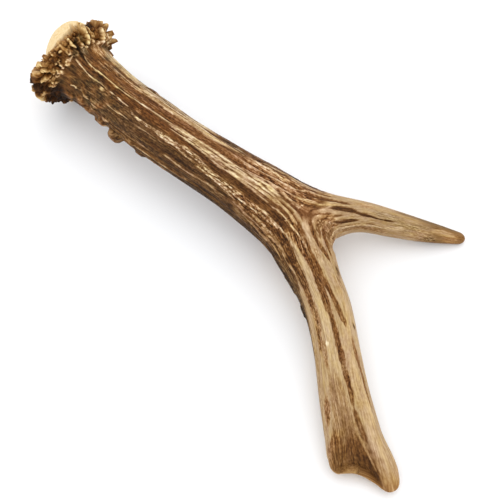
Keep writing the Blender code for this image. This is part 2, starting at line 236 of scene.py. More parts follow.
class Bay(Enum):
    """A bay between two arms seen from above: its bearing from the fork's centre, and its reach."""

    OUTER = (-83.0, 17.0)
    SHOULDER = (123.0, 15.8)
    CROTCH = (18.0, 12.0)

    def reach(self) -> Array:
        """From the fork's centre to the middle of the bay."""
        bearing, reach = math.radians(self.value[0]), self.value[1]
        return reach * np.array((math.cos(bearing), math.sin(bearing), 0.0))

    def arc(self) -> Array:
        """Lays points down the middle of the bay.

        Returns:
            The points, without the fork's top and bottom.
        """
        turns = FORK.side_turns()
        up = np.array((0.0, 0.0, FORK.half_depth))
        return np.array(FORK.centre) + np.outer(np.sin(turns), self.reach()) + np.outer(np.cos(turns), up)

    def grain(self, turns: Array) -> Array:
        """Finds where points beside the bay lie on the grain's circle.

        Args:
            turns: the points' turns, in radians.

        Returns:
            A row of two for each. Beside the crotch it runs straight across the circle.
        """
        turns = np.abs(turns)
        if self is Bay.CROTCH:
            return np.stack([GRAIN_RADIUS * (1 - 2 * turns / math.pi), 0 * turns], axis=-1)
        side = 1.0 if self is Bay.OUTER else -1.0
        return GRAIN_RADIUS * np.stack([np.cos(turns), side * np.sin(turns)], axis=-1)


# ---- the arms --------------------------------------------------------
@dataclass(frozen=True)
class End:
    """An arm's last station: its centre, and the directions out along it, to the left and up."""

    centre: Array
    out: Array
    left: Array
    up: Array

    def points(self, along: Array, across: Array, upwards: Array) -> Array:
        """The points at these distances out, to the left and up."""
        return (
            self.centre
            + along[..., None] * self.out
            + across[..., None] * self.left
            + upwards[..., None] * self.up
        )


@dataclass(frozen=True)
class Arm:
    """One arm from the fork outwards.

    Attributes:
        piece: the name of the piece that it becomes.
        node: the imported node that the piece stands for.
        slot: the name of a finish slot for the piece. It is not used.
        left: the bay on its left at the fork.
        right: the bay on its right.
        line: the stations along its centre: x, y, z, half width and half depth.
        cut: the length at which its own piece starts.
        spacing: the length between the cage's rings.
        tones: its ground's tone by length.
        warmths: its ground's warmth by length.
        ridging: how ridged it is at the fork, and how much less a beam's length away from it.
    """

    piece: str
    node: str
    slot: str
    left: Bay
    right: Bay
    line: Rows
    cut: float
    spacing: float
    tones: Rows
    warmths: Rows
    ridging: Pair

    def length(self) -> float:
        """The length of the centre line from the fork to the last station."""
        centres = np.array([FORK.centre, *[station[:3] for station in self.line]])
        return float(path_marks(centres)[-1])

    def rings(self) -> tuple[list[Array], list[float], End]:
        """Lays out the cage's rings along the arm, without its end.

        Returns:
            The rings, the length at each, and the arm's end.
        """
        stations = np.array(((*FORK.centre, self.line[0][3], FORK.half_depth), *self.line))
        marks = path_marks(stations[:, :3])
        lengths = np.linspace(0.0, marks[-1], round(marks[-1] / self.spacing) + 1)
        rows = hermite(marks, stations, lengths)
        centres, half_widths, half_depths = rows[:, :3], rows[:, 3, None], rows[:, 4, None]
        out = unit(np.gradient(centres, axis=0))
        left = unit(np.cross((0.0, 0.0, 1.0), out))
        up = np.cross(out, left)
        turns = ring_turns(2 * FORK.side_points)
        rings = (
            centres[:, None]
            + left[:, None] * (half_widths * np.sin(turns))[..., None]
            + up[:, None] * (half_depths * np.cos(turns))[..., None]
        )
        fade = np.clip(1 - lengths / FORK.blend, 0, 1) ** 2
        for bay, side in ((self.left, 1.0), (self.right, -1.0)):
            shift = bay.reach() - side * left[0] * half_widths[0]
            share = np.clip(side * np.sin(turns), 0, 1)
            rings += fade[:, None, None] * share[None, :, None] * shift
        end = End(centres[-1], out[-1], left[-1], up[-1])
        return list(rings[1:]), lengths[1:].tolist(), end

    def ending(self, end: End) -> tuple[list[Array], list[float]]:
        """Lays out the rings past the last station. Each arm has its own.

        Args:
            end: the last station.

        Returns:
            The rings, and the length that each adds.
        """
        raise NotImplementedError

    def owns(self, bone: "Bone") -> Array:
        """Which of the bone's faces are on the arm's own piece."""
        on, length = bone.mask(self)[bone.faces], bone.length[bone.faces]
        return (on.mean(axis=1) > 0.5) & (length.mean(axis=1) > self.cut)

    def build(self, bone: "Bone", skin: "Skin") -> bpy.types.Object:
        """Builds the arm's own piece, closed where it meets its neighbour.

        Args:
            bone: the whole smooth bone.
            skin: the relief and the stain of each of its points.

        Returns:
            The piece, which carries the stain and the painted shade as attributes.
        """
        used, corners = np.unique(bone.faces[self.owns(bone)], return_inverse=True)
        points = bone.points[used] + bone.normals[used] * skin.height[used, None] - MIDDLE
        low, high = np.array(cad_box) / MM
        points = np.clip(points, low, high)
        mesh = bpy.data.meshes.new(self.piece)
        mesh.from_pydata((points * MM).tolist(), [], corners.reshape(-1, 4).tolist())
        for name in (*SHADES, "strand"):
            write_values(mesh, name, getattr(skin, name)[used])
        form = bmesh.new()
        form.from_mesh(mesh)
        rim = [edge for edge in form.edges if edge.is_boundary]
        lids = bmesh.ops.holes_fill(form, edges=rim, sides=0)["faces"]
        bmesh.ops.triangulate(form, faces=lids)
        for edge in rim:
            edge.smooth = False
        for face in form.faces:
            face.smooth = True
        form.to_mesh(mesh)
        form.free()
        piece = add_object(self.piece, mesh)
        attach(piece, "root")
        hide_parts(self.node)
        return piece

    def dress(self, piece: bpy.types.Object, finish: bpy.types.Material) -> None:
        """Gives the arm's piece its finish."""
        piece.data.materials.append(finish)


@dataclass(frozen=True)
class Beam(Arm):
    """The beam, with the burr and the domed seal at its end.

    Attributes:
        profile: the end's outline from the last station: distance along the beam, and radius.
        profile_spacing: the length between the rings there.
        skew: how far the burr's far side stands out further, for each mm across.
        skew_length: the length over which it comes to do so.
        seal_shift: how far the seal sits off the burr's middle, across and up.
        seal_shift_start: how far past the last station it starts to.
        seal_shift_length: the length over which it comes to do so.
        low_rim: the turns between which the burr's rim is low.
    """

    profile: Rows
    profile_spacing: float
    skew: float
    skew_length: float
    seal_shift: Pair
    seal_shift_start: float
    seal_shift_length: float
    low_rim: Pair

    def ending(self, end: End) -> tuple[list[Array], list[float]]:
        """Lays out the burr's and the seal's rings. The last of them is one point.

        They have twice the points of the beam's rings, because the burr's knobs are small.

        Args:
            end: the last station.

        Returns:
            The rings, and the length that each adds.
        """
        marks = path_marks(np.array(self.profile))
        added = np.linspace(0.0, marks[-1], round(marks[-1] / self.profile_spacing) + 1)[1:]
        reach, radius = hermite(marks, self.profile, added).T[..., None]
        radius[-1] = 0.0
        turns = ring_turns(4 * FORK.side_points)
        across, upwards = radius * np.sin(turns), radius * np.cos(turns)
        skew = self.skew * np.clip(reach / self.skew_length, 0, 1)
        shift = np.clip((reach - self.seal_shift_start) / self.seal_shift_length, 0, 1)
        rings = end.points(
            reach + skew * np.maximum(across, 0),
            across + self.seal_shift[0] * shift,
            upwards + self.seal_shift[1] * shift,
        )
        return list(rings), added.tolist()

    def owns(self, bone: "Bone") -> Array:
        """Which of the bone's faces are on the beam's piece: all that the other two leave."""
        return ~(TINE.owns(bone) | CROWN.owns(bone))


@dataclass(frozen=True)
class FrontTine(Arm):
    """The front tine and its round tip.

    Attributes:
        tip_length: how far the tip reaches past the last station.
        tip_swing: where the tip's rings stand on a quarter circle.
    """

    tip_length: float
    tip_swing: tuple[float, ...]

    def ending(self, end: End) -> tuple[list[Array], list[float]]:
        """Lays out the rings of the round tip. The last of them is one point.

        Args:
            end: the last station.

        Returns:
            The rings, and the length that each adds.
        """
        half_width, half_depth = self.line[-1][3:]
        swing = np.radians(self.tip_swing)[:, None]
        turns = ring_turns(2 * FORK.side_points)
        along = self.tip_length * np.sin(swing) * np.ones_like(turns)
        across = half_width * np.cos(swing) * np.sin(turns)
        upwards = half_depth * np.cos(swing) * np.cos(turns)
        return list(end.points(along, across, upwards)), along[:, 0].tolist()


@dataclass(frozen=True)
class UpperBeam(Arm):
    """The upper beam and its blunt end, which closes to an edge.

    Attributes:
        edge: from the far side (-1) to the tine's side (1), how far the edge reaches past the last
            station there, and how far across from the centre line.
        edge_shares: where the end's rings stand, from 0 at the last station to 1 at the edge.
        edge_sharpness: the power by which the end thins towards the edge.
    """

    edge: Rows
    edge_shares: tuple[float, ...]
    edge_sharpness: float

    def ending(self, end: End) -> tuple[list[Array], list[float]]:
        """Lays out the rings of the blunt end. The last of them is an edge.

        Args:
            end: the last station.

        Returns:
            The rings, and the length that each adds.
        """
        half_width, half_depth = self.line[-1][3:]
        turns = ring_turns(2 * FORK.side_points)
        edge = np.array(self.edge)
        reach, offset = hermite(edge[:, 0], edge[:, 1:], np.sin(turns)).T
        share = np.array(self.edge_shares)[:, None]
        eased = ease(0, 1, share)
        across = half_width * np.sin(turns) * (1 - eased) + offset * eased
        upwards = half_depth * np.cos(turns) * np.sqrt(1 - share**self.edge_sharpness)
        return list(end.points(share * reach, across, upwards)), (share[:, 0] * reach.mean()).tolist()


BEAM = Beam(
    piece="antler_beam",
    node="beam",
    slot="ridged_antler",
    left=Bay.OUTER,
    right=Bay.SHOULDER,
    line=(
        (-5.0, 26.2, 17.3, 13.0, 10.9), (-20.9, 20.7, 18.1, 11.8, 10.7),
        (-38.7, 14.4, 18.9, 11.3, 10.6), (-57.5, 8.6, 19.5, 11.2, 10.8),
        (-76.3, 4.1, 19.8, 10.8, 10.8), (-85.2, 2.4, 19.9, 11.2, 11.2),
    ),
    cut=0.0,
    spacing=3.0,
    tones=((0.0, 0.52), (15.0, 0.44), (45.0, 0.34), (80.0, 0.29), (118.0, 0.3), (140.0, 0.5)),
    warmths=((0.0, 0.7), (40.0, 0.65), (80.0, 0.62), (118.0, 0.6)),
    ridging=(0.9, 0.0),
    profile=(
        (0.0, 11.2), (3.2, 11.5), (6.2, 12.2), (8.8, 13.8), (10.6, 16.0), (12.8, 17.6),
        (15.0, 16.9), (16.8, 14.8), (18.0, 13.5), (20.0, 12.5), (22.9, 10.5), (25.4, 7.5),
        (27.0, 3.9), (27.7, 0.0),
    ),
    profile_spacing=1.3,
    skew=0.17,
    skew_length=10.0,
    seal_shift=(-2.8, 1.5),
    seal_shift_start=14.0,
    seal_shift_length=9.0,
    low_rim=(-17.0, 54.0),
)
TINE = FrontTine(
    piece="antler_front_tine",
    node="front_tine",
    slot="worn_antler",
    left=Bay.SHOULDER,
    right=Bay.CROTCH,
    line=(
        (15.4, 42.0, 14.6, 9.0, 8.2), (17.3, 48.0, 13.0, 7.9, 7.2), (19.6, 53.3, 11.5, 6.8, 6.4),
        (26.5, 62.3, 8.8, 5.4, 5.2), (34.4, 70.9, 6.1, 4.4, 4.3), (40.2, 77.7, 4.0, 3.3, 3.3),
        (43.8, 82.0, 2.7, 2.4, 2.5),
    ),
    cut=16.0,
    spacing=2.6,
    tones=((0.0, 0.52), (6.0, 0.61), (14.0, 0.66), (44.0, 0.63), (52.0, 0.46), (60.0, 0.47)),
    warmths=((0.0, 0.7), (12.0, 0.4), (44.0, 0.35), (50.0, 0.4), (60.0, 0.65)),
    ridging=(0.4, 0.8),
    tip_length=3.2,
    tip_swing=(20.0, 40.0, 58.0, 75.0, 90.0),
)
CROWN = UpperBeam(
    piece="antler_upper_beam",
    node="upper_beam",
    slot="streaked_antler",
    left=Bay.CROTCH,
    right=Bay.OUTER,
    line=(
        (21.0, 27.0, 15.0, 10.9, 9.4), (29.0, 24.1, 13.7, 9.4, 8.6), (44.0, 19.9, 11.9, 8.6, 7.8),
        (58.4, 13.3, 10.2, 8.3, 7.2), (72.1, 6.1, 8.6, 9.0, 6.6), (85.0, 0.2, 6.9, 9.9, 6.0),
    ),
    cut=17.4,
    spacing=2.6,
    tones=((0.0, 0.52), (14.0, 0.65), (40.0, 0.67), (80.0, 0.66), (93.0, 0.66), (101.0, 0.55)),
    warmths=((0.0, 0.65), (20.0, 0.35), (88.0, 0.3), (100.0, 0.8)),
    ridging=(0.5, 0.3),
    edge=(
        (-1.0, 8.0, -10.4), (-0.88, 12.2, -10.2), (-0.7, 14.8, -8.6), (-0.45, 15.2, -5.8),
        (0.0, 16.4, -1.0), (0.35, 20.0, 3.6), (0.7, 24.7, 8.8), (0.88, 22.6, 12.2),
        (1.0, 17.5, 12.9),
    ),
    edge_shares=(0.14, 0.28, 0.42, 0.55, 0.67, 0.78, 0.87, 0.94, 0.985, 1.0),
    edge_sharpness=4.0,
)
ARMS = (BEAM, TINE, CROWN)


# ---- the smooth bone -------------------------------------------------
@dataclass
class Bone:
    """The whole antler's surface, with each point's place on it.

    Attributes:
        points: the points, in mm.
        faces: the four corners of each face.
        grain: where each point is on the grain's circle.
        length: each point's length from the fork.
        on: how far each point belongs to each arm. At the fork it belongs to none.
        normals: the smooth surface's own direction at each point.
    """

    points: Array
    faces: Array
    grain: Array
    length: Array
    on: Array
    normals: Array

    def mask(self, arm: Arm) -> Array:
        """How far each point belongs to this arm, from 0 to 1."""
        return self.on[:, ARMS.index(arm)]

    def strand(self) -> Array:
        """Each point's place on the grain, which runs on from the beam into both other arms."""
        signed = self.length * (1 - 2 * self.mask(BEAM))
        return np.column_stack([self.grain, signed])

    def turn(self) -> Array:
        """Finds each point's turn without its sign.

        Returns:
            The turns, from 0 at the top to 180 underneath.
        """
        x, y = self.grain.T
        flat = math.pi / 2 * (1 - x / GRAIN_RADIUS)
        return np.degrees(np.where(np.abs(y) > FLAT, np.arctan2(np.abs(y), x), flat))


class Cage:
    """The coarse cage, laid out in rings along each arm and joined at the fork by its bays' arcs.

    Attributes:
        points: the points of the fork, of each arc and of each ring.
        grain: where they are on the grain's circle.
        arcs: the numbers of each bay's points.
        length: their lengths from the fork.
        on: which arm they are on.
        faces: the corners of each face.
    """

    def __init__(self) -> None:
        """Starts with the fork's top and bottom and its bays' arcs."""
        ends = ((0.0, 0.0, FORK.half_depth), (0.0, 0.0, -FORK.half_depth))
        self.points = [np.array(FORK.centre) + ends]
        self.grain = [np.array(((GRAIN_RADIUS, 0.0), (-GRAIN_RADIUS, 0.0)))]
        self.arcs: dict[Bay, Array] = {}
        for number, bay in enumerate(Bay):
            self.points.append(bay.arc())
            self.grain.append(bay.grain(FORK.side_turns()))
            start = len(ends) + number * (FORK.side_points - 1)
            self.arcs[bay] = start + np.arange(FORK.side_points - 1)
        count = sum(map(len, self.points))
        self.length = [np.zeros(count)]
        self.on = [np.zeros((count, len(ARMS)))]
        self.faces: list[list[int]] = []

    def add(self, arm: Arm) -> None:
        """Adds an arm, from the fork to its closed end.

        Args:
            arm: the arm.
        """
        rings, lengths, end = arm.rings()
        last_rings, added = arm.ending(end)
        rings += last_rings
        lengths += [lengths[-1] + more for more in added]
        near = np.concatenate([[0], self.arcs[arm.left], [1], self.arcs[arm.right][::-1]])
        for ring, length in zip(rings, lengths):
            near = self._ring(arm, near, ring, length, last=ring is rings[-1])

    def _ring(self, arm: Arm, near: Array, ring: Array, length: float, last: bool) -> Array:
        """Adds one ring and the faces to the one before it.

        Args:
            arm: the arm that the ring is on.
            near: the numbers of the points of the ring before it.
            ring: its points, as many as in the ring before it or twice as many.
            length: its length from the fork.
            last: whether it closes the arm.

        Returns:
            The numbers of its points.
        """
        count = len(ring)
        turns = ring_turns(count)
        numbers = sum(map(len, self.points)) + np.arange(count)
        self.points.append(ring)
        self.grain.append(np.where((turns >= 0)[:, None], arm.left.grain(turns), arm.right.grain(turns)))
        self.length.append(np.full(count, length))
        self.on.append(np.tile(np.array([arm is other for other in ARMS], float), (count, 1)))
        if last and arm is CROWN:
            mirrored = numbers[FORK.side_points - np.arange(count)]
            numbers = np.minimum(numbers, mirrored)
        elif last:
            numbers = np.full(count, numbers[0])
        if count == len(near):
            sides = zip(near, numbers, np.roll(numbers, -1), np.roll(near, -1))
        else:
            sides = zip(near, numbers[::2], numbers[1::2], np.roll(numbers, -2)[::2], np.roll(near, -1))
        self.faces += [list(dict.fromkeys(int(corner) for corner in corners)) for corners in sides]
        return numbers

    def relaxed(self) -> Array:
        """Evens out the points round the fork, so that the arms flow into each other.

        Returns:
            The cage's points.
        """
        points = np.vstack(self.points)
        pairs = np.array([pair for face in self.faces for pair in zip(face, face[1:] + face[:1])])
        pairs = np.unique(np.sort(pairs, axis=1), axis=0)
        both = np.concatenate([pairs, pairs[:, ::-1]])
        counts = np.maximum(np.bincount(both[:, 0], minlength=len(points)), 1)[:, None]
        reach = np.concatenate(self.length)[:, None] / FORK.relax_reach
        weight = FORK.relax_pull * np.clip(1 - reach, 0, 1) ** FORK.relax_fall
        for _ in range(FORK.relax_steps):
            total = np.zeros_like(points)
            np.add.at(total, both[:, 0], points[both[:, 1]])
            points = points + weight * (total / counts - points)
        return points

    def rounded(self, levels: int) -> Bone:
        """Rounds the cage.

        Args:
            levels: how many times it is subdivided.

        Returns:
            The smooth bone.
        """
        mesh = bpy.data.meshes.new("cage")
        used, renumbered = np.unique(np.concatenate(self.faces), return_inverse=True)
        starts = np.cumsum([len(face) for face in self.faces])[:-1]
        faces = [face.tolist() for face in np.split(renumbered.reshape(-1), starts)]
        mesh.from_pydata(self.relaxed()[used].tolist(), [], faces)
        columns = [np.vstack(self.grain), np.concatenate(self.length), np.vstack(self.on)]
        columns = np.column_stack(columns)[used].T
        names = [f"place_{number}" for number in range(len(columns))]
        for name, column in zip(names, columns):
            write_values(mesh, name, column)
        guide = add_object("cage", mesh)
        guide.modifiers.new("round", "SUBSURF").levels = levels
        bpy.context.view_layer.update()
        smooth = guide.evaluated_get(bpy.context.evaluated_depsgraph_get()).to_mesh()
        places = np.hstack([read_values(smooth.attributes[name].data, "value", 1) for name in names])
        bone = Bone(
            points=read_values(smooth.vertices, "co", 3),
            faces=np.array([list(face.vertices) for face in smooth.polygons]),
            grain=places[:, :2],
            length=places[:, 2],
            on=places[:, 3:],
            normals=read_values(smooth.vertices, "normal", 3),
        )
        bpy.data.objects.remove(guide)
        bpy.data.meshes.remove(mesh)
        return bone


# ---- streaks and knobs -----------------------------------------------
@dataclass(frozen=True)
class Waves:
    """Noise that is stretched along the grain: how wide and long it is, and where it starts."""

    width: float
    length: float
    start: float

    def at(self, rows: Array) -> Array:
        """The noise at each of these places, from about -1 to 1."""
        places = rows / (self.width, self.width, self.length) + (self.start, 0.0, 0.0)
        return NOISE_SCALE * np.array([noise.noise(place) for place in places.tolist()])


class Route(Enum):
    """The two arms that a streak runs along. Its lengths are negative on the first."""

    TO_CROWN = (BEAM, CROWN)
    TO_TINE = (BEAM, TINE)

    def turns(self, bone: Bone) -> Array:
        """Finds each point's turn along the route.

        Args:
            bone: the bone.

        Returns:
            The turns, positive on the outer side, or on the tine's crotch side.
        """
        across = bone.grain[:, 1]
        if self is Route.TO_CROWN:
            return np.where(across > FLAT, 1, -1) * bone.turn()
        return np.where(across < -FLAT, -1, 1) * bone.turn()

    def other(self) -> Arm:
        """The arm that it leaves out."""
        return TINE if self is Route.TO_CROWN else CROWN


@dataclass(frozen=True)
class Streak:
    """A ridge, a groove, a stain or a band of painted shade that runs along the bone.

    Attributes:
        tone: from 0, near black, to 1, cream.
        line: the length from the fork, the turn and the half width at each of its points.
        height: how far it stands up, or is sunk if negative.
        warmth: from 0, grey brown, to 1, orange brown, or None to leave it.
        mottle: how much fine dashes and speckles show on it, or None to leave it.
        strength: how much of the stain under it it covers.
        soft: how much of its half width its edge takes, to each side.
    """

    tone: float
    line: Rows
    height: float = 0.0
    warmth: float | None = None
    mottle: float | None = None
    strength: float = 1.0
    soft: float = 0.25


Streaks = dict[Route, tuple[Streak, ...]]


@dataclass(frozen=True)
class Brush:
    """How every streak is laid on.

    Attributes:
        least_half: the least half width that is drawn.
        fray: how far its sides fray, as a share of the skin's raggedness.
        fray_by_width: how much further for each mm of half width.
        overrun: how far it fades past its ends.
        taper: how long an end takes to fade in, in its greatest half widths.
        tapers: the shortest and the longest that it takes.
        taper_share: the most of the streak that it takes.
    """

    least_half: float = 0.05
    fray: float = 0.7
    fray_by_width: float = 0.4
    overrun: float = 0.5
    taper: float = 3.0
    tapers: Pair = (1.5, 10.0)
    taper_share: float = 0.4


@dataclass(frozen=True)
class Knob:
    """A knob of the burr, or a pearl of the beam: a lump along a short line.

    Attributes:
        start: the length and turn where its line starts, as in a streak.
        end: where its line ends.
        radius: half its width.
        height: how far it stands up.
        tone: the tone of its top.
        warmth: the warmth of its top.
    """

    start: Pair
    end: Pair
    radius: float
    height: float
    tone: float
    warmth: float = 0.8


# The wide stains that lie under the lines, from the burr to the tips, with bands of painted shade
# among them.
STAINS_AND_SHADING: Streaks = {}
STAINS_AND_SHADING[Route.TO_CROWN] = (
    # The lower beam, from its far edge to its near one. It runs from pale to dark across it, partly
    # its own stain and partly painted light and shade.
    Streak(0.72, ((-112, -58, 4), (-60, -55, 3.6), (-44, -52, 2.2)), 0, 0.15, 0.3),
    Streak(0.5, ((-114, -32, 1.5), (-109, -30, 2.8), (-103, -28, 1.4)), 0, 1, 0.6),
    Streak(0.66, ((-84, -28, 0.5), (-70, -28, 1.1), (-48, -27, 1.2), (-38, -27, 0.5)), 0.15, 0.5, 0.35),
    Streak(0.36, ((-110, -10, 2.4), (-60, -11, 1.9), (-36, -12, 1.7), (-20, -14, 2)), -0.1, 0.95, 0.4),
    Streak(0.28, ((-108, 12, 1.4), (-80, 13, 1.5), (-62, 15, 1.4), (-46, 20, 1.2)), -0.1, 1, 0.35),
    Streak(0.3, ((-110, 38, 3.4), (-90, 38, 3.4), (-76, 42, 2.6), (-64, 42, 1.4)), -0.1, 0.45, 0.45),
    Streak(0.25, ((-84, 36, 1), (-66, 46, 1.5), (-50, 50, 1.7), (-34, 55, 1.1),
        (-24, 60, 0.7)), -0.1, 0.45, 0.35),
    Streak(0.31, ((-106, 66, 3.4), (-84, 66, 3.4), (-66, 68, 1.8), (-54, 70, 1)), 0, 0.4, 0.45),
    Streak(0.24, ((-64, 72, 1.2), (-50, 74, 1.8), (-30, 74, 2.2), (-14, 80, 1.8), (4, 82, 2.2),
        (14, 76, 1.6), (22, 74, 0.8)), 0, 0.4, 0.35),
    Streak(0.42, ((6, 84, 1.6), (20, 80, 2.2), (32, 86, 2), (46, 92, 1)), 0, 0.3, 0.35),
    Streak(0.3, ((-100, 98, 3.6), (-60, 100, 2.4), (-30, 104, 2.4)), 0, 0.4, 0.5),
    # Painted shade: a grey band, near black, along the near underside.
    Streak(0.12, ((-74, 110, 1), (-60, 113, 4), (-30, 112, 5), (-14, 108, 4),
        (4, 102, 1.6)), 0, 0.1, 0.3, 0.85),
    # The mix of fine lines before the fork.
    Streak(0.41, ((-34, 40, 1), (-24, 42, 2.6), (-10, 44, 3.2), (2, 40, 2.4), (8, 38, 1)), 0, 0.85, 0.85),
    # The upper beam.
    Streak(0.36, ((-6, 28, 1.3), (4, 22, 1.9), (12, 12, 1.8), (20, 6, 1.6),
        (26, 2, 1.1)), -0.15, 0.95, 0.8),
    Streak(0.72, ((6, 32, 0.5), (14, 26, 0.9), (26, 24, 1.4), (44, 20, 1.6), (58, 12, 1.3),
        (66, 4, 0.5)), 0.1, 0.3, 0.15),
    Streak(0.7, ((22, -26, 1), (40, -42, 1.1), (52, -22, 1.9), (70, -34, 2.4), (84, -42, 2.2),
        (94, -50, 1.6)), 0.1, 0.45, 0.15),
    Streak(0.55, ((58, 24, 0.6), (66, 22, 2.2), (74, 18, 2.8), (82, 22, 3.4), (92, 34, 4)), 0, 0.5, 0.25),
    Streak(0.42, ((80, 40, 0.8), (86, 44, 2), (94, 46, 2.6)), 0, 0.85, 0.5),
    Streak(0.48, ((67, 48, 0.5), (73, 54, 1.3), (80, 60, 0.6)), 0, 0.85, 0.6),
    Streak(0.4, ((72, 10, 0.5), (78, 9, 1.8), (84, 8, 3.6), (90, 8, 6), (100, 6, 8)), 0, 0.6, 0.25, 0.55),
    Streak(0.28, ((80, 2, 0.4), (85, 3, 1.6), (89, 3, 3.4), (94, 3, 4.5), (99, 3, 5)), 0, 0.8, 0.3, 0.8),
    Streak(0.22, ((89, -4, 0.6), (92, -8, 2.4), (97, -6, 3), (101, -4, 3)), 0, 0.7, 0.3),
    Streak(0.34, ((87, 30, 1), (91, 30, 3), (96, 27, 5), (101, 26, 5)), 0, 0.6, 0.3, 0.75),
    Streak(0.42, ((95, -46, 0.6), (98, -46, 2.4), (101, -46, 3)), 0, 1, 0.3, 0.6),
    Streak(0.6, ((34, 84, 1.6), (60, 84, 2.4), (90, 80, 2)), 0, 0.35, 0.3),
    Streak(0.5, ((86, 66, 1), (98, 62, 2)), 0, 0.7, 0.4),
    # Its dark near edge, which is painted shade.
    Streak(0.12, ((2, 92, 0.8), (12, 96, 2.6), (24, 99, 2.8), (36, 101, 2.5), (48, 99, 1.6),
        (58, 95, 0.6)), 0.1, 0.3, 0.8, 0.95, 0.5),
)
STAINS_AND_SHADING[Route.TO_TINE] = (
    Streak(0.24, ((-36, -52, 0.5), (-28, -52, 1.3), (-14, -55, 1.5), (-4, -60, 1.4),
        (6, -64, 0.6)), -0.1, 0.6, 0.4),
    # The stippled fork.
    Streak(0.47, ((-36, -20, 1.4), (-24, -20, 2.8), (-10, -19, 3.6), (3, -14, 3.6),
        (8, -6, 1.4)), -0.1, 1, 0.6),
    Streak(0.56, ((0, 14, 2.2), (5, 20, 2.2), (10, 24, 1.4)), 0, 0.9, 0.5),
    # The tine's grey patches.
    Streak(0.57, ((30, 40, 0.5), (38, 36, 1.8), (46, 34, 2.4), (54, 30, 1.6)), 0, 0.15, 0.3, 0.7),
    Streak(0.58, ((24, 0, 0.5), (32, 6, 1.5), (40, 10, 1.2)), 0, 0.05, 0.3, 0.6),
    Streak(0.44, ((34, -32, 0.6), (46, -36, 1.3), (56, -40, 1.3), (63, -40, 1)), 0, 0.1, 0.2, 0.6),
    # The tine's near side and its tip.
    Streak(0.5, ((8, 74, 1.4), (20, 74, 1.6), (34, 76, 1)), 0, 0.6, 0.4),
    Streak(0.6, ((40, 62, 1), (46, 60, 2.4), (53, 56, 2)), 0, 0.6, 0.4, 0.7),
    Streak(0.42, ((46, 84, 0.4), (48.5, 76, 1), (52, 72, 0.8), (54, 70, 0.3)), 0, 0.4, 1, 0.9),
    Streak(0.55, ((54, 60, 1), (58, 56, 1.8), (63, 50, 2)), 0, 0.9, 0.4),
    Streak(0.7, ((48, 24, 0.4), (54, 20, 1.1), (61, 18, 0.8)), 0.1, 0.6, 0.2, 0.8),
    Streak(0.42, ((61.5, 40, 0.5), (63, 36, 1), (64.5, 34, 1)), 0, 0.9, 0.4, 0.6),
)
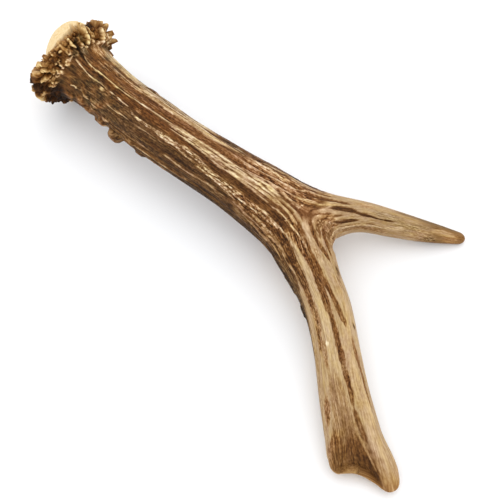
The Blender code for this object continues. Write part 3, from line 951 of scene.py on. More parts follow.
# The lines that stand out, from the burr to the tips.
LINES: Streaks = {}
LINES[Route.TO_CROWN] = (
    # The lower beam's far side.
    Streak(0.28, ((-111, -50, 0.2), (-100, -51, 0.35), (-86, -48, 0.3), (-70, -47, 0.35),
        (-58, -47, 0.2)), -0.2, 0.6, 0.2),
    Streak(0.32, ((-106, -33, 0.2), (-96, -33, 0.35), (-86, -31, 0.2)), -0.15, 0.7, 0.3),
    Streak(0.28, ((-66, -57, 0.3), (-52, -55, 0.5), (-38, -52, 0.4), (-30, -50, 0.2)), -0.2, 0.4, 0.2),
    Streak(0.58, ((-106, -40, 0.3), (-95, -42, 0.4), (-85, -38, 0.4), (-75, -36, 0.4),
        (-64, -36, 0.2)), 0.1, 0.4),
    Streak(0.26, ((-84, -58, 1.2), (-80.5, -56, 2), (-77, -56, 1)), 0.4, 0.7),
    Streak(0.34, ((-72, -38, 0.3), (-60, -38, 0.4), (-50, -41, 0.5), (-40, -42, 0.3)), -0.15, 0.6),
    Streak(0.8, ((-107, -27, 0.2), (-96, -26, 0.25), (-88, -25, 0.25), (-82, -25, 0.2), (-72, -29, 0.3),
        (-58, -28, 0.3), (-48, -27, 0.3), (-40, -26, 0.2)), 0.15, 0.5),
    Streak(0.68, ((-102, -20, 0.2), (-95, -21, 0.2), (-88, -20, 0.25), (-80, -22, 0.25), (-68, -23.5, 0.35),
        (-54, -22.5, 0.35), (-42, -21, 0.25)), 0.15, 0.6),
    Streak(0.8, ((-86, -34, 0.2), (-75, -33, 0.25), (-64, -33, 0.3), (-52, -32, 0.3), (-42, -29, 0.25),
        (-30, -30, 0.25), (-20, -30, 0.25), (-13, -27, 0.2)), 0.15, 0.4),
    Streak(0.28, ((-45, -44, 0.3), (-40, -44, 0.9), (-36, -42, 0.7), (-32, -42, 0.2)), -0.2, 0.1, 0.5),
    Streak(0.7, ((-39, -39, 0.2), (-36, -38, 0.7), (-33, -38, 0.2)), 0.2, 0.1, 0.3),
    Streak(0.1, ((-29, -42, 0.2), (-27.5, -42, 0.45), (-26, -42, 0.2)), -0.3, 0.3, 0.3),
    Streak(0.66, ((-26, -42, 0.3), (-20, -43, 0.4), (-10, -46, 0.3)), 0.2, 0.3),
    Streak(0.25, ((-34, -37, 0.3), (-26, -38, 0.5), (-18, -37, 0.4), (-12, -38, 0.3)), -0.25, 0.6),
    # Fine dashes on its orange side.
    Streak(0.6, ((-105, -12, 0.1), (-101, -12, 0.25), (-96, -14, 0.1)), 0, 0.8),
    Streak(0.55, ((-80, -10, 0.1), (-74, -11, 0.2), (-66, -10, 0.1)), 0, 0.9),
    Streak(0.6, ((-42, -16, 0.1), (-36, -15, 0.25), (-30, -13, 0.25), (-22, -11, 0.2)), 0.1, 0.8),
    Streak(0.6, ((-93, 0, 0.1), (-86, 0, 0.2), (-79, 0, 0.1)), 0.1, 0.8),
    # The long pale ridge on top, which widens into a broad band towards the fork.
    Streak(0.92, ((-109, 2, 0.15), (-105, 5.5, 0.22), (-95, 6, 0.2), (-88, 6.5, 0.2), (-82, 4, 0.22),
        (-76, 3.5, 0.24), (-70, 1.5, 0.26), (-62, 1.5, 0.3)), 0.35, 0.45, 0.1),
    Streak(0.87, ((-66, 1, 0.3), (-60, 2, 0.8), (-50, 5, 1.5), (-40, 8, 2), (-30, 9, 2.2), (-20, 9, 2.1),
        (-12, 9, 1.5), (-7, 9, 0.6)), 0.35, 0.4, 0.3, 0.95, 0.2),
    Streak(0.31, ((-62, 7, 0.08), (-55, 8, 0.18), (-48, 11, 0.19), (-42, 13, 0.18), (-36, 14.5, 0.18),
        (-31, 15.5, 0.08)), -0.15, 0.7),
    Streak(0.22, ((-60, 13, 0.16), (-50, 15, 0.2), (-44, 17.5, 0.18), (-38, 19, 0.08)), -0.2, 0.8),
    Streak(0.36, ((-52, 2, 0.08), (-46, 3.5, 0.16), (-38, 5, 0.18), (-31, 6, 0.08)), -0.12, 0.6),
    Streak(0.36, ((-43, 8, 0.08), (-38, 10, 0.16), (-32, 11.5, 0.18), (-26, 13, 0.08)), -0.12, 0.6),
    Streak(0.31, ((-34, 0, 0.08), (-28, 2, 0.18), (-22, 4, 0.18), (-16, 6, 0.08)), -0.15, 0.7),
    Streak(0.34, ((-27, 9, 0.08), (-20, 11, 0.18), (-14, 13, 0.18), (-9, 15, 0.1)), -0.15, 0.7),
    Streak(0.28, ((-25, 16, 0.08), (-19, 17.5, 0.18), (-13, 19.5, 0.19), (-9, 21, 0.1)), -0.15, 0.8),
    Streak(0.86, ((-62, 10.5, 0.2), (-56, 11, 0.24), (-48, 13.5, 0.28), (-41, 17, 0.28), (-34, 19.5, 0.28),
        (-26, 20.5, 0.26), (-19, 22, 0.26), (-12, 24.5, 0.24), (-7, 26.5, 0.15)), 0.2, 0.4, 0.2),
    Streak(0.34, ((-14, 2, 0.15), (-8, 3.5, 0.3), (-2, 5, 0.4), (2, 5, 0.3)), -0.2, 0.9),
    Streak(0.84, ((-12, -2, 0.2), (-6, 0, 0.25), (-1, 1, 0.2)), 0.15, 0.5),
    Streak(0.76, ((-12, 7, 0.2), (-6, 8, 0.28), (0, 8.5, 0.32), (5, 4, 0.36), (9, -3, 0.4), (14, -10, 0.45),
        (20, -18, 0.5)), 0.2, 0.4, 0.1),
    Streak(0.34, ((-11, 11, 0.15), (-5, 11.5, 0.35), (1, 12, 0.35), (5, 8, 0.3), (8, 3, 0.2)), -0.2, 0.9),
    Streak(0.84, ((-13, 14, 0.2), (-6, 14.5, 0.28), (0, 15.5, 0.3), (5, 12, 0.28),
        (9, 8, 0.2)), 0.2, 0.4, 0.3),
    Streak(0.34, ((-14, 19, 0.2), (-6, 19.5, 0.4), (0, 20, 0.5)), -0.2, 0.9),
    Streak(0.82, ((-10, 22.5, 0.15), (-4, 23, 0.25), (0, 23.5, 0.28), (5, 18, 0.28), (10, 11, 0.28),
        (16, 8, 0.2)), 0.15, 0.4, 0.3),
    # The broken pale lines of the lower beam.
    Streak(0.9, ((-110, 16.5, 0.18), (-106, 19, 0.2), (-102, 22, 0.22), (-98, 23.5, 0.24), (-95.5, 22, 0.2),
        (-91, 24, 0.24), (-88, 22, 0.12)), 0.3, 0.5, 0.1),
    Streak(0.95, ((-95.2, 29, 0.3), (-93.8, 30, 0.6), (-92.4, 30, 0.3)), 0.2, 0.4, 0.1),
    Streak(0.54, ((-92.5, 28, 0.6), (-91, 29, 1.2), (-89, 28, 0.6)), 0.1, 1, 0.5),
    Streak(0.9, ((-87.5, 20, 0.15), (-85.5, 23, 0.22), (-83, 23.5, 0.24), (-79, 23, 0.15)), 0.3, 0.4, 0.1),
    Streak(0.52, ((-77.4, 16, 0.3), (-76, 16, 1.1), (-74.8, 16, 0.3)), 0, 1, 0.8, 0.8),
    Streak(0.74, ((-79, 27, 0.2), (-76, 30, 0.35), (-71, 31.5, 0.45), (-66, 29, 0.45), (-61, 28, 0.45),
        (-56, 28, 0.35), (-51, 29, 0.35), (-46, 32, 0.35), (-42, 36, 0.4), (-37, 39, 0.4), (-30, 40, 0.35),
        (-24, 40, 0.3)), 0.15, 0.45, 1),
    Streak(0.74, ((-69, 27, 0.2), (-65, 31, 0.35), (-60, 33.5, 0.5), (-55, 34, 0.45), (-50, 37.5, 0.35),
        (-44, 41, 0.35), (-40, 43.5, 0.3), (-35, 46, 0.3), (-30, 51, 0.3),
        (-24, 54, 0.25)), 0.2, 0.45, 0.8),
    Streak(0.72, ((-54, 24.5, 0.2), (-48, 26, 0.24), (-43, 30, 0.28), (-39, 34, 0.28), (-32, 34, 0.24),
        (-20, 34, 0.24), (-8, 36, 0.24)), 0.15, 0.4, 0.6),
    Streak(0.76, ((-89, 45, 0.2), (-84, 46.5, 0.24), (-80, 44, 0.24), (-76.5, 43.5, 0.15)), 0.25, 0.4, 0.1),
    Streak(0.62, ((-76, 44.5, 0.15), (-70, 43, 0.22), (-64, 41, 0.2), (-58, 40, 0.1)), 0.2, 0.4, 0.3),
    Streak(0.7, ((-59, 59, 0.15), (-53, 61, 0.24), (-46, 61.5, 0.24), (-36, 62, 0.22),
        (-29, 62, 0.15)), 0.25, 0.4, 0.3),
    Streak(0.6, ((-27, 59, 0.15), (-21, 62, 0.24), (-12, 64, 0.24), (-5, 66, 0.15)), 0.15, 0.4, 0.3),
    Streak(0.62, ((-24, 69.5, 0.15), (-14, 72, 0.24), (-2, 72, 0.26), (5, 64, 0.26), (11, 58.5, 0.26),
        (19, 56, 0.26), (23, 57, 0.12)), 0.2, 0.4, 0.3),
    Streak(0.5, ((-84, 78, 0.3), (-74, 77, 0.4), (-64, 73, 0.3)), 0.15, 0.5, 0.5),
    Streak(0.57, ((-84, 87, 0.3), (-74, 87, 0.4), (-60, 85.5, 0.35), (-46, 85, 0.3)), 0.2, 0.5, 0.4),
    Streak(0.55, ((-100, 101, 0.4), (-88, 100, 0.4), (-72, 102, 0.4), (-56, 100, 0.4)), 0.2, 0.5, 0.4),
    # The dark lines between the beam's middle and the upper beam.
    Streak(0.22, ((-52, 18.5, 0.3), (-46, 21.5, 0.8), (-38, 26, 1.3), (-30, 27, 1.4), (-20, 29, 1.4),
        (-10, 31, 1.3), (-1, 30, 0.9), (5, 25, 0.65)), -0.2, 0.8, 0.3),
    Streak(0.74, ((-14, 37.5, 0.2), (-6, 38.5, 0.26), (0, 38.5, 0.3), (5, 34, 0.35), (10, 30.5, 0.4),
        (15, 27, 0.4)), 0.2, 0.35, 0.4),
    Streak(0.68, ((-34, 45, 0.2), (-20, 46.5, 0.26), (-10, 45, 0.3), (-4, 46, 0.15)), 0.15, 0.4, 0.8),
    Streak(0.22, ((-22, 51, 0.5), (-10, 52, 0.7), (0, 47, 1.56), (8, 42.5, 1.69), (16, 42, 1.56),
        (22, 43, 1.56), (27, 45, 1.3), (33, 46, 0.91), (38, 46, 0.39)), -0.25, 0.85, 0.6),
    Streak(0.45, ((24, 45, 0.8), (32, 46, 1.2), (44, 46, 1.2), (54, 47, 0.8)), -0.1, 0.9, 0.7, 0.8),
    Streak(0.68, ((-16, 56, 0.2), (-8, 57, 0.26), (0, 56.5, 0.26), (6, 55, 0.2)), 0.15, 0.4, 0.6),
    Streak(0.22, ((10.5, 53, 0.39), (13, 53, 0.59), (15, 53, 0.39)), -0.1, 0.7, 0.2),
    Streak(0.25, ((-14, 67, 0.3), (-2, 67, 0.4), (6, 62, 0.65), (12, 62, 0.65), (20, 62, 0.78),
        (26, 68, 0.65)), -0.2, 0.6, 0.5),
    # The upper beam's lines, which bear towards the tine's side.
    Streak(0.34, ((0, 19, 0.42), (5, 13, 0.7), (10, 8, 0.7), (15, 3.5, 0.84), (20, 0, 1.12), (25, -3, 1.12),
        (30, -9, 0.84), (34, -13, 0.7), (38, -18, 0.98), (41, -23, 0.91), (44, -28, 0.56),
        (45.5, -30, 0.21)), -0.3, 0.95, 0.4),
    Streak(0.35, ((16, 11, 0.7), (22, 8, 1.12), (30, 8, 1.26), (36, 7, 1.19), (41, 3, 0.84), (45, 1, 0.84),
        (50, 0, 0.91), (55, -3, 1.05), (60, -6, 0.91), (65, -9.5, 0.84), (70, -11, 0.63),
        (75, -10, 0.28)), -0.25, 0.9, 0.5),
    Streak(0.7, ((2, 17, 0.1), (8, 11, 0.2), (14, 7, 0.2), (18, 4, 0.1)), 0.1, 0.5, 0.4, 0.8),
    Streak(0.34, ((0.5, -3, 0.42), (4, -8, 0.7), (8, -14, 0.91), (12, -23, 1.05), (15, -31, 0.98),
        (18, -37, 0.56), (20, -41, 0.21)), -0.25, 0.95, 0.5),
    Streak(0.4, ((1, -14, 0.21), (3, -22, 0.34), (6, -26, 0.34), (9, -26, 0.14)), -0.15, 0.9, 0.3),
    Streak(0.34, ((-1, -26, 0.42), (1.5, -34, 1.19), (5, -40, 1.4), (9, -45, 0.98), (13, -47, 0.49),
        (18, -54, 0.21)), -0.25, 1, 0.4),
    Streak(0.52, ((11, -4, 0.3), (15, -9, 0.8), (19, -13, 0.5)), 0, 0.8, 0.4, 0.5),
    Streak(0.48, ((25, -42, 0.2), (28, -47, 0.6), (31, -42, 0.2)), 0, 0.8, 0.6, 0.7),
    Streak(0.4, ((19, -58, 0.42), (24, -60, 1.26), (27, -56, 0.42)), 0, 0.3, 0.4, 0.8),
    Streak(0.25, ((42.5, -56, 0.28), (44, -59, 0.63), (45.5, -62, 0.28)), -0.1, 0.4, 0.1),
    Streak(0.44, ((48, -39, 0.42), (53, -42, 0.7), (58, -47, 0.7), (63, -54, 0.63), (69, -57, 0.56),
        (75, -57, 0.28)), -0.2, 0.9, 0.3),
    Streak(1, ((48.9, 28, 0.3), (50, 28, 0.7), (51.1, 28, 0.3)), 0.15, 0.2, 0),
    Streak(0.45, ((48, 36, 0.56), (51, 37, 0.84), (56, 36, 0.7), (60, 33, 0.28)), 0, 0.8, 0.4, 0.7),
    Streak(0.36, ((74, -10, 0.28), (79, -13, 0.7), (83, -17, 0.7), (87, -23, 0.28)), -0.2, 0.8, 0.3),
    Streak(0.66, ((76, -4, 0.25), (82, -6, 0.35), (86, -12, 0.4), (90, -19.5, 0.35),
        (95, -27, 0.15)), 0.3, 0.5, 0.2, 0.7),
)
LINES[Route.TO_TINE] = (
    Streak(0.62, ((-16, -45, 0.4), (-8, -46, 0.9), (0, -46, 0.8), (5, -46, 0.2)), 0.1, 0.4),
    # The tine's grooves.
    Streak(0.2, ((7.5, -1, 0.3), (10, -2, 0.7), (12, 0, 1), (15, 4, 1), (18, 9.5, 0.8), (20, 15, 0.5),
        (23, 18.5, 0.6), (26, 21.5, 0.35), (29, 24, 0.2), (32, 24, 0.3), (34, 22, 0.34),
        (36, 22, 0.1)), -0.45, 0.8, 0.2),
    Streak(0.22, ((6, 31, 0.2), (8, 33, 0.5), (11, 36, 0.65), (14, 36, 0.75), (17, 36, 0.65),
        (20.5, 38, 0.15)), -0.4, 0.85, 0.2),
    Streak(0.36, ((7.5, 18, 0.2), (10, 19, 0.45), (12.5, 18, 0.2)), -0.15, 0.8),
    Streak(0.42, ((9.5, 27, 0.1), (11.5, 29, 0.24), (13.5, 29, 0.1)), -0.1, 0.8),
    Streak(0.3, ((-14, -29, 0.2), (-4, -27, 0.4), (4, -24.5, 0.6), (8, -22, 0.5), (11, -21, 0.4),
        (14, -17, 0.55), (17.5, -13, 0.2)), -0.3, 0.9, 0.3),
    Streak(0.38, ((-12, -37, 0.2), (-2, -39, 0.3), (5, -37, 0.3), (9.5, -35, 0.12)), -0.15, 0.8),
    # The lines that swing round from the beam into the tine.
    Streak(0.36, ((-34, -22, 0.15), (-27, -18, 0.25), (-19, -20, 0.25), (-12, -24, 0.25),
        (-5, -31, 0.15)), -0.15, 1),
    Streak(0.7, ((-32, -14, 0.15), (-25, -15, 0.25), (-17, -17.5, 0.3), (-9, -22, 0.3), (-3, -31, 0.3),
        (3, -32, 0.25), (10, -28, 0.25)), 0.15, 0.6, 0.3),
    Streak(0.36, ((-24, -7, 0.15), (-16, -9, 0.3), (-8, -13, 0.3), (0, -18, 0.3), (6, -17, 0.15)), -0.2, 1),
    Streak(0.72, ((-30, -4, 0.15), (-18, -6, 0.25), (-9, -9, 0.26), (-1, -13, 0.3), (6, -10, 0.3),
        (12, -11, 0.3), (16, -6, 0.15)), 0.15, 0.6, 0.3),
    Streak(0.38, ((-9, -5, 0.15), (-3, -7, 0.28), (3, -5, 0.28), (7, -4, 0.15)), -0.15, 1),
    Streak(0.38, ((0, 4, 0.25), (3, 7, 0.26), (6, 11, 0.22), (8, 14, 0.12)), -0.15, 1),
    Streak(0.4, ((0, 15, 0.25), (3, 19, 0.26), (6, 24, 0.22), (8, 27, 0.1)), -0.15, 1),
    # The faint marks on its near and far sides.
    Streak(0.4, ((1, 48, 0.3), (3.5, 45, 0.8), (6.5, 42, 0.8), (9.5, 43, 0.25)), -0.1, 1, 0.7),
    Streak(0.48, ((9, 51, 0.15), (13, 54, 0.4), (18, 53, 0.35), (22, 53, 0.12)), -0.1, 0.7, 0.6, 0.8),
    Streak(0.43, ((23.5, 51, 0.15), (25.5, 50.5, 0.35), (28, 50, 0.15)), -0.1, 0.7, 0.4, 0.9),
    Streak(0.6, ((19, -18, 0.5), (23, -17, 1.2), (28, -16, 0.5)), 0, 1, 0.4, 0.6),
    Streak(0.72, ((0, 62, 0.6), (8, 58, 0.6), (18, 60, 0.5), (30, 58, 0.5), (40, 44, 0.6)), 0.1, 0.4, 0.3),
)
# Deep grooves and a broad sunk patch between the far side's knobs, painted dark as painted shade.
# Then a crack in the burr's crust and the grey patches beside it.
BURR_MARKS = (
    Streak(0.12, ((-126, -31, 0.6), (-120, -31, 0.9), (-115, -31, 0.6)), -1.6, 0.8),
    Streak(0.12, ((-124, -42, 0.5), (-119, -41, 0.8), (-112, -39, 0.5)), -2.6, 0.8),
    Streak(0.15, ((-124, -51.5, 0.5), (-119, -51.5, 0.7), (-115.5, -51.5, 0.3)), -2.8, 0.8),
    Streak(0.12, ((-123, -61, 0.5), (-117, -61, 0.8), (-113.5, -61, 0.4)), -3.2, 0.8),
    Streak(0.12, ((-122, -76, 0.5), (-117, -77, 0.9), (-112, -77, 0.5)), -2.2, 0.8),
    Streak(0.2, ((-121, -100, 2), (-116, -98, 4.5), (-109, -94, 4)), -2.2, 0.8, 0.5, 0.6),
    Streak(0.1, ((-117, -4, 0.3), (-115, 0, 0.6), (-112, 2.5, 0.6), (-109, 4.5, 0.45),
        (-106, 6, 0.2)), -0.35, 0.2, 0.3),
    Streak(0.5, ((-112.6, -3, 0.5), (-111, -2.5, 1.3), (-109, -5, 1), (-107.5, -5, 0.4)), 0, 0, 0.4, 0.85),
    Streak(0.48, ((-117.5, -11, 0.4), (-115.5, -9.5, 1.2), (-113, -10.5, 0.6)), 0, 0, 0.4, 0.85),
    Streak(0.48, ((-113, 11, 0.4), (-111.5, 12, 1.2), (-109.5, 11, 0.5)), 0, 0, 0.4, 0.8),
)
# The listed knobs, round the burr from its far side to its near one.
KNOBS = (
    Knob((-113, -84), (-116, -80), 1.3, 2.2, 0.45),
    Knob((-110.5, -74), (-112, -74), 1, 1.8, 0.6, 0.6),
    Knob((-112.6, -70), (-113.3, -71), 1, 4.4, 0.62, 0.7),
    Knob((-115.3, -69), (-115.8, -68), 0.75, 3.2, 0.45, 0.9),
    Knob((-117.7, -67), (-118.4, -66), 0.85, 3.3, 0.7, 0.8),
    Knob((-120.3, -66), (-120.8, -65), 0.7, 2.6, 0.4, 0.9),
    Knob((-112.5, -60), (-117.5, -62), 1, 2.8, 0.78, 0.7),
    Knob((-112, -53), (-116, -55), 0.8, 2.6, 0.7, 0.8),
    Knob((-118.3, -56), (-119, -56), 0.8, 3.3, 0.6, 0.8),
    Knob((-121, -56), (-121.5, -55), 0.6, 2.6, 0.4, 0.9),
    Knob((-110.5, -42), (-115.5, -46), 1.1, 2.9, 0.88, 0.8),
    Knob((-117.5, -48), (-120, -48), 0.9, 3.1, 0.6, 1),
    Knob((-118.5, -39), (-121, -40), 0.8, 2.5, 0.62, 1),
    Knob((-113.5, -35), (-115.5, -36), 0.9, 1.9, 0.4, 1),
    Knob((-116.5, -32), (-119.5, -33), 1, 3.2, 0.5, 1),
    Knob((-114, -27), (-117.5, -24), 1, 2.2, 0.8, 0.8),
    Knob((-119.5, -22), (-120.5, -21), 0.9, 3, 0.6, 0.9),
    Knob((-112.5, -14), (-115.5, -18), 0.95, 2.4, 0.9, 0.7),
    Knob((-116.5, -17), (-119, -21), 0.9, 2.9, 0.8, 0.8),
    Knob((-119.5, -10), (-120.5, -9), 0.8, 2.1, 0.6, 1),
    Knob((-117.5, -6), (-118.2, -5), 0.8, 2.1, 0.68, 0.9),
    Knob((-114.5, -3), (-116, -1), 0.8, 1.6, 0.5),
    Knob((-113.5, 5), (-116.2, 7), 1.05, 2.1, 0.86, 0.85),
    Knob((-117.2, 2), (-118, 3), 0.8, 1.6, 0.62, 0.9),
    Knob((-116.5, 13), (-117.4, 14), 1, 1.6, 0.66, 1),
    Knob((-114.5, 18), (-116.5, 20), 1, 1.8, 0.72, 1),
    Knob((-116.8, 25), (-117.6, 26), 0.9, 1.4, 0.7, 1),
    Knob((-113.5, 30), (-115, 31), 0.8, 1.4, 0.3, 0.9),
    Knob((-116, 35), (-117.4, 36), 1, 1.6, 0.72, 0.9),
    Knob((-117.5, 44), (-119, 45), 0.9, 1.8, 0.55, 1),
    Knob((-110.5, 42), (-112, 39), 0.7, 1.4, 0.82, 0.9),
    Knob((-109.5, 50), (-111.5, 53), 0.6, 1.4, 0.8, 0.9),
    Knob((-113.5, 46), (-114.5, 48), 0.9, 1.8, 0.35, 1),
    Knob((-113, 54), (-116, 58), 0.9, 2.4, 0.8, 0.9),
    Knob((-113.5, 64), (-115, 73), 0.9, 2.6, 0.84, 0.9),
    Knob((-111.5, 66), (-113, 68), 0.8, 1.6, 0.55),
    Knob((-117.5, 57), (-119.5, 58), 1, 2.4, 0.75, 0.9),
    Knob((-117, 66), (-120, 68), 1.1, 2.8, 0.5, 1),
    Knob((-110.5, 76), (-113, 82), 0.7, 1.8, 0.72, 0.9),
    Knob((-117, 76), (-119, 77), 0.9, 2.5, 0.32, 1),
    Knob((-118.5, 85), (-120, 84), 0.9, 3, 0.12, 0.5),
    Knob((-114.6, 97), (-115.8, 101), 1.1, 2.1, 0.8, 0.8),
    Knob((-117.4, 95), (-118.6, 98), 1, 2.7, 0.7, 0.6),
    Knob((-113.5, 99), (-114.5, 101), 0.9, 1.8, 0.3, 0.6),
    Knob((-116.2, 105), (-119, 108), 1.3, 3, 0.92, 0.6),
    Knob((-116.6, 115), (-119.2, 117), 1.2, 3.2, 0.88, 0.7),
    Knob((-117.5, 127), (-118.5, 127), 1.1, 2.8, 0.6, 0.8),
    # The beam's pearls.
    Knob((-81.2, 113), (-83.2, 111), 2.4, 3, 0.5, 0.5),
    Knob((-69, 116), (-71, 118), 1.6, 0.8, 0.45, 0.6),
    Knob((-73.7, 88), (-74.3, 88), 1.9, 0.8, 0.5, 0.6),
    Knob((-86, 77), (-87.4, 77), 1.2, 0.9, 0.8, 0.7),
    Knob((-90, 58), (-91.5, 62), 1.4, 0.9, 0.45, 1),
    Knob((-92.5, 66), (-95, 60), 0.8, 0.8, 0.72, 0.6),
    Knob((-88.5, 100), (-89.5, 100), 2.1, 1.3, 0.5, 0.9),
    Knob((-62.5, 140), (-63.5, 140), 2.1, 1.2, 0.35, 0.5),
    Knob((-76.5, 150), (-77.5, 150), 2.3, 1.4, 0.35, 0.5),
    Knob((-92.5, 128), (-93.5, 128), 2.1, 1.3, 0.35, 0.5),
    Knob((-84.5, 170), (-85.5, 170), 2, 1, 0.35, 0.5),
    Knob((-97, 60), (-99, 62), 0.8, 0.8, 0.85, 0.6),
    Knob((-92.5, 74), (-94.2, 72), 0.9, 0.9, 0.75, 0.6),
    Knob((-100, 54), (-101.7, 55), 0.4, 0.5, 0.72, 0.5),
    Knob((-103.2, 60), (-105.2, 62), 0.45, 0.6, 0.78, 0.5),
    Knob((-99, 76), (-101, 78), 1.6, 1, 0.45, 1),
    Knob((-95.5, 92), (-96.5, 92), 1.5, 0.9, 0.5, 0.9),
    Knob((-104, 84), (-105.5, 86), 1.3, 0.9, 0.4, 1),
    # The upper beam's dark near edge: low lumps painted dark, as painted shade.
    Knob((17, 98), (23, 100), 1.6, 0.35, 0.16, 0.3),
    Knob((31, 100), (34, 101), 1.3, 0.5, 0.14, 0.3),
)


# ---- the skin --------------------------------------------------------
# No line runs quite straight: each point's turn is moved by up to this many degrees.
WOBBLE = 1.6
WOBBLES = Waves(6.0, 12.0, 61.0)
# Patches a few millimetres wide, which the neck's stain and the burr's crust both follow.
PATCHES = Waves(3.2, 3.2, 29.0)
BRUSH = Brush()


class Skin:
    """The relief and the stain of the whole bone, at each of its points.

    Attributes:
        bone: the smooth bone under it.
        strand: the point's place along the grain.
        beam, tine, crown: how far it belongs to each arm.
        past: how far past the beam's last station it is.
        radius: how far it is from the centre line, about.
        turns: its turn along each route.
        patch: how much it is in a patch, from about -1 to 1.
        height: how far it moves out along its normal.
        tone: from 0, near black, to 1, cream.
        warmth: from 0, grey brown, to 1, orange brown.
        ochre: from 0, lilac, to 1, ochre.
        mottle: how much the fine speckle shows.
        seal: 1 on the smooth seal.
    """

    def __init__(self, bone: Bone) -> None:
        """Starts with bare bone.

        Args:
            bone: the smooth bone.
        """
        self.bone = bone
        self.strand = bone.strand()
        self.beam, self.tine, self.crown = (bone.mask(arm) for arm in ARMS)
        self.past = self.beam * (bone.length - BEAM.length())
        self.radius = self._radius()
        wobble = WOBBLE * WOBBLES.at(self.strand)
        self.turns = {route: route.turns(bone) + wobble for route in Route}
        self.patch = PATCHES.at(bone.points)
        self.tone = self.by_length(lambda arm: arm.tones)
        self.warmth = self.by_length(lambda arm: arm.warmths)
        self.height, self.ochre, self.mottle, self.seal = np.zeros((4, len(self.past)))

    def _radius(self) -> Array:
        """Works out how far the surface is from the centre line, about.

        Returns:
            The distance at each point, and at least 1 on the seal, whose middle is on the line.
        """
        radius = np.full(len(self.past), FORK.radius)
        for arm in ARMS:
            line = np.array(((*FORK.centre, FORK.radius, FORK.radius), *arm.line))
            mean = np.interp(self.bone.length, path_marks(line[:, :3]), line[:, 3:].mean(axis=1))
            radius = mixed(radius, mean, self.bone.mask(arm))
        profile = np.array(BEAM.profile)
        burr = np.interp(self.past, path_marks(profile), profile[:, 1])
        return np.where((self.past > 0) & (self.beam > 0.5), np.maximum(burr, 1), radius)

    def by_length(self, table: Callable[[Arm], Rows]) -> Array:
        """Reads what each arm gives by length.

        Args:
            table: gets an arm's rows of a length and a number.

        Returns:
            The number at each point.
        """
        values = np.full(len(self.past), table(BEAM)[0][1])
        for arm in ARMS:
            marks, numbers = np.array(table(arm)).T
            values = mixed(values, np.interp(self.bone.length, marks, numbers), self.bone.mask(arm))
        return values

    def less(self, shares: Pair) -> Array:
        """1 all over, but less by these shares on the tine and on the upper beam."""
        return (1 - shares[0] * self.tine) * (1 - shares[1] * self.crown)

    def lay(self, streak: Streak, route: Route, ragged: Array, whole: Array | float = 1.0) -> None:
        """Lays a streak on.

        Args:
            streak: the streak.
            route: the arms that it runs along.
            ragged: how far its sides are moved at each point.
            whole: how unbroken its stain is.
        """
        marks, turns, widths = np.array(streak.line).T
        signed = self.strand[:, 2]
        row = hermite(marks, np.column_stack([turns, widths]), np.clip(signed, marks[0], marks[-1]))
        half = np.maximum(row[:, 1], BRUSH.least_half)
        away = np.radians(np.abs(self.turns[route] - row[:, 0])) * self.radius
        away += ragged * (BRUSH.fray + BRUSH.fray_by_width * half)
        shortest, longest = BRUSH.tapers
        longest = min(longest, BRUSH.taper_share * (marks[-1] - marks[0]))
        taper = min(max(BRUSH.taper * widths.max(), shortest), longest)
        share = 1 - ease(1 - streak.soft, 1 + streak.soft, away / half)
        share *= ease(-BRUSH.overrun, taper, np.minimum(signed - marks[0], marks[-1] - signed))
        share *= 1 - self.bone.mask(route.other())
        cover = share * streak.strength * whole
        self.height += streak.height * share
        self.tone = mixed(self.tone, streak.tone, cover)
        if streak.warmth is not None:
            self.warmth = mixed(self.warmth, streak.warmth, cover)
        if streak.mottle is not None:
            self.mottle = mixed(self.mottle, streak.mottle, share)

    def lay_all(self, streaks: Streaks, ragged: Array, whole: Array | float = 1.0) -> None:
        """Lays on the streaks of each route in turn.

        Args:
            streaks: the streaks.
            ragged: how far their sides are moved at each point.
            whole: how unbroken their stain is.
        """
        for route in Route:
            for streak in streaks[route]:
                self.lay(streak, route, ragged, whole)

    def settle(self) -> None:
        """Keeps every shade between 0 and 1."""
        for name in SHADES:
            setattr(self, name, np.clip(getattr(self, name), 0, 1))


@dataclass(frozen=True)
class Seal:
    """The smooth dome at the beam's end, which sat on the skull.

    Attributes:
        start: how far past the beam's last station it starts.
        fade: how far its edge takes to show fully.
        drop: how much nearer it comes where the burr's rim is low.
        drop_turn: how far the rim takes to get low, to each side.
        rags, rag: what makes its edge ragged, and by how much.
        lifts: how far its edge is moved up, by turn. Its middle stays.
    """

    start: float = 21.0
    fade: float = 1.8
    drop: float = 3.6
    drop_turn: float = 7.0
    rags: Waves = Waves(1.6, 1.6, 13.0)
    rag: float = 1.1
    lifts: Rows = ((-180.0, -0.8), (-75.0, -0.8), (-18.0, 1.5), (56.0, -1.3), (180.0, -0.8))

    def work(self, skin: Skin) -> None:
        """Marks the seal out, and moves its edge up or down by turn.

        Args:
            skin: the skin.
        """
        side = skin.turns[Route.TO_CROWN]
        low = between(BEAM.low_rim, self.drop_turn, self.drop_turn, side)
        edge = self.start - self.drop * low + self.rag * self.rags.at(skin.bone.points)
        skin.seal = ease(edge, edge + self.fade, skin.past)
        marks, lifts = np.array(self.lifts).T
        lift = hermite(marks, lifts[:, None], np.clip(side, marks[0], marks[-1]))[:, 0]
        skin.height += skin.seal * lift * skin.radius / FORK.radius


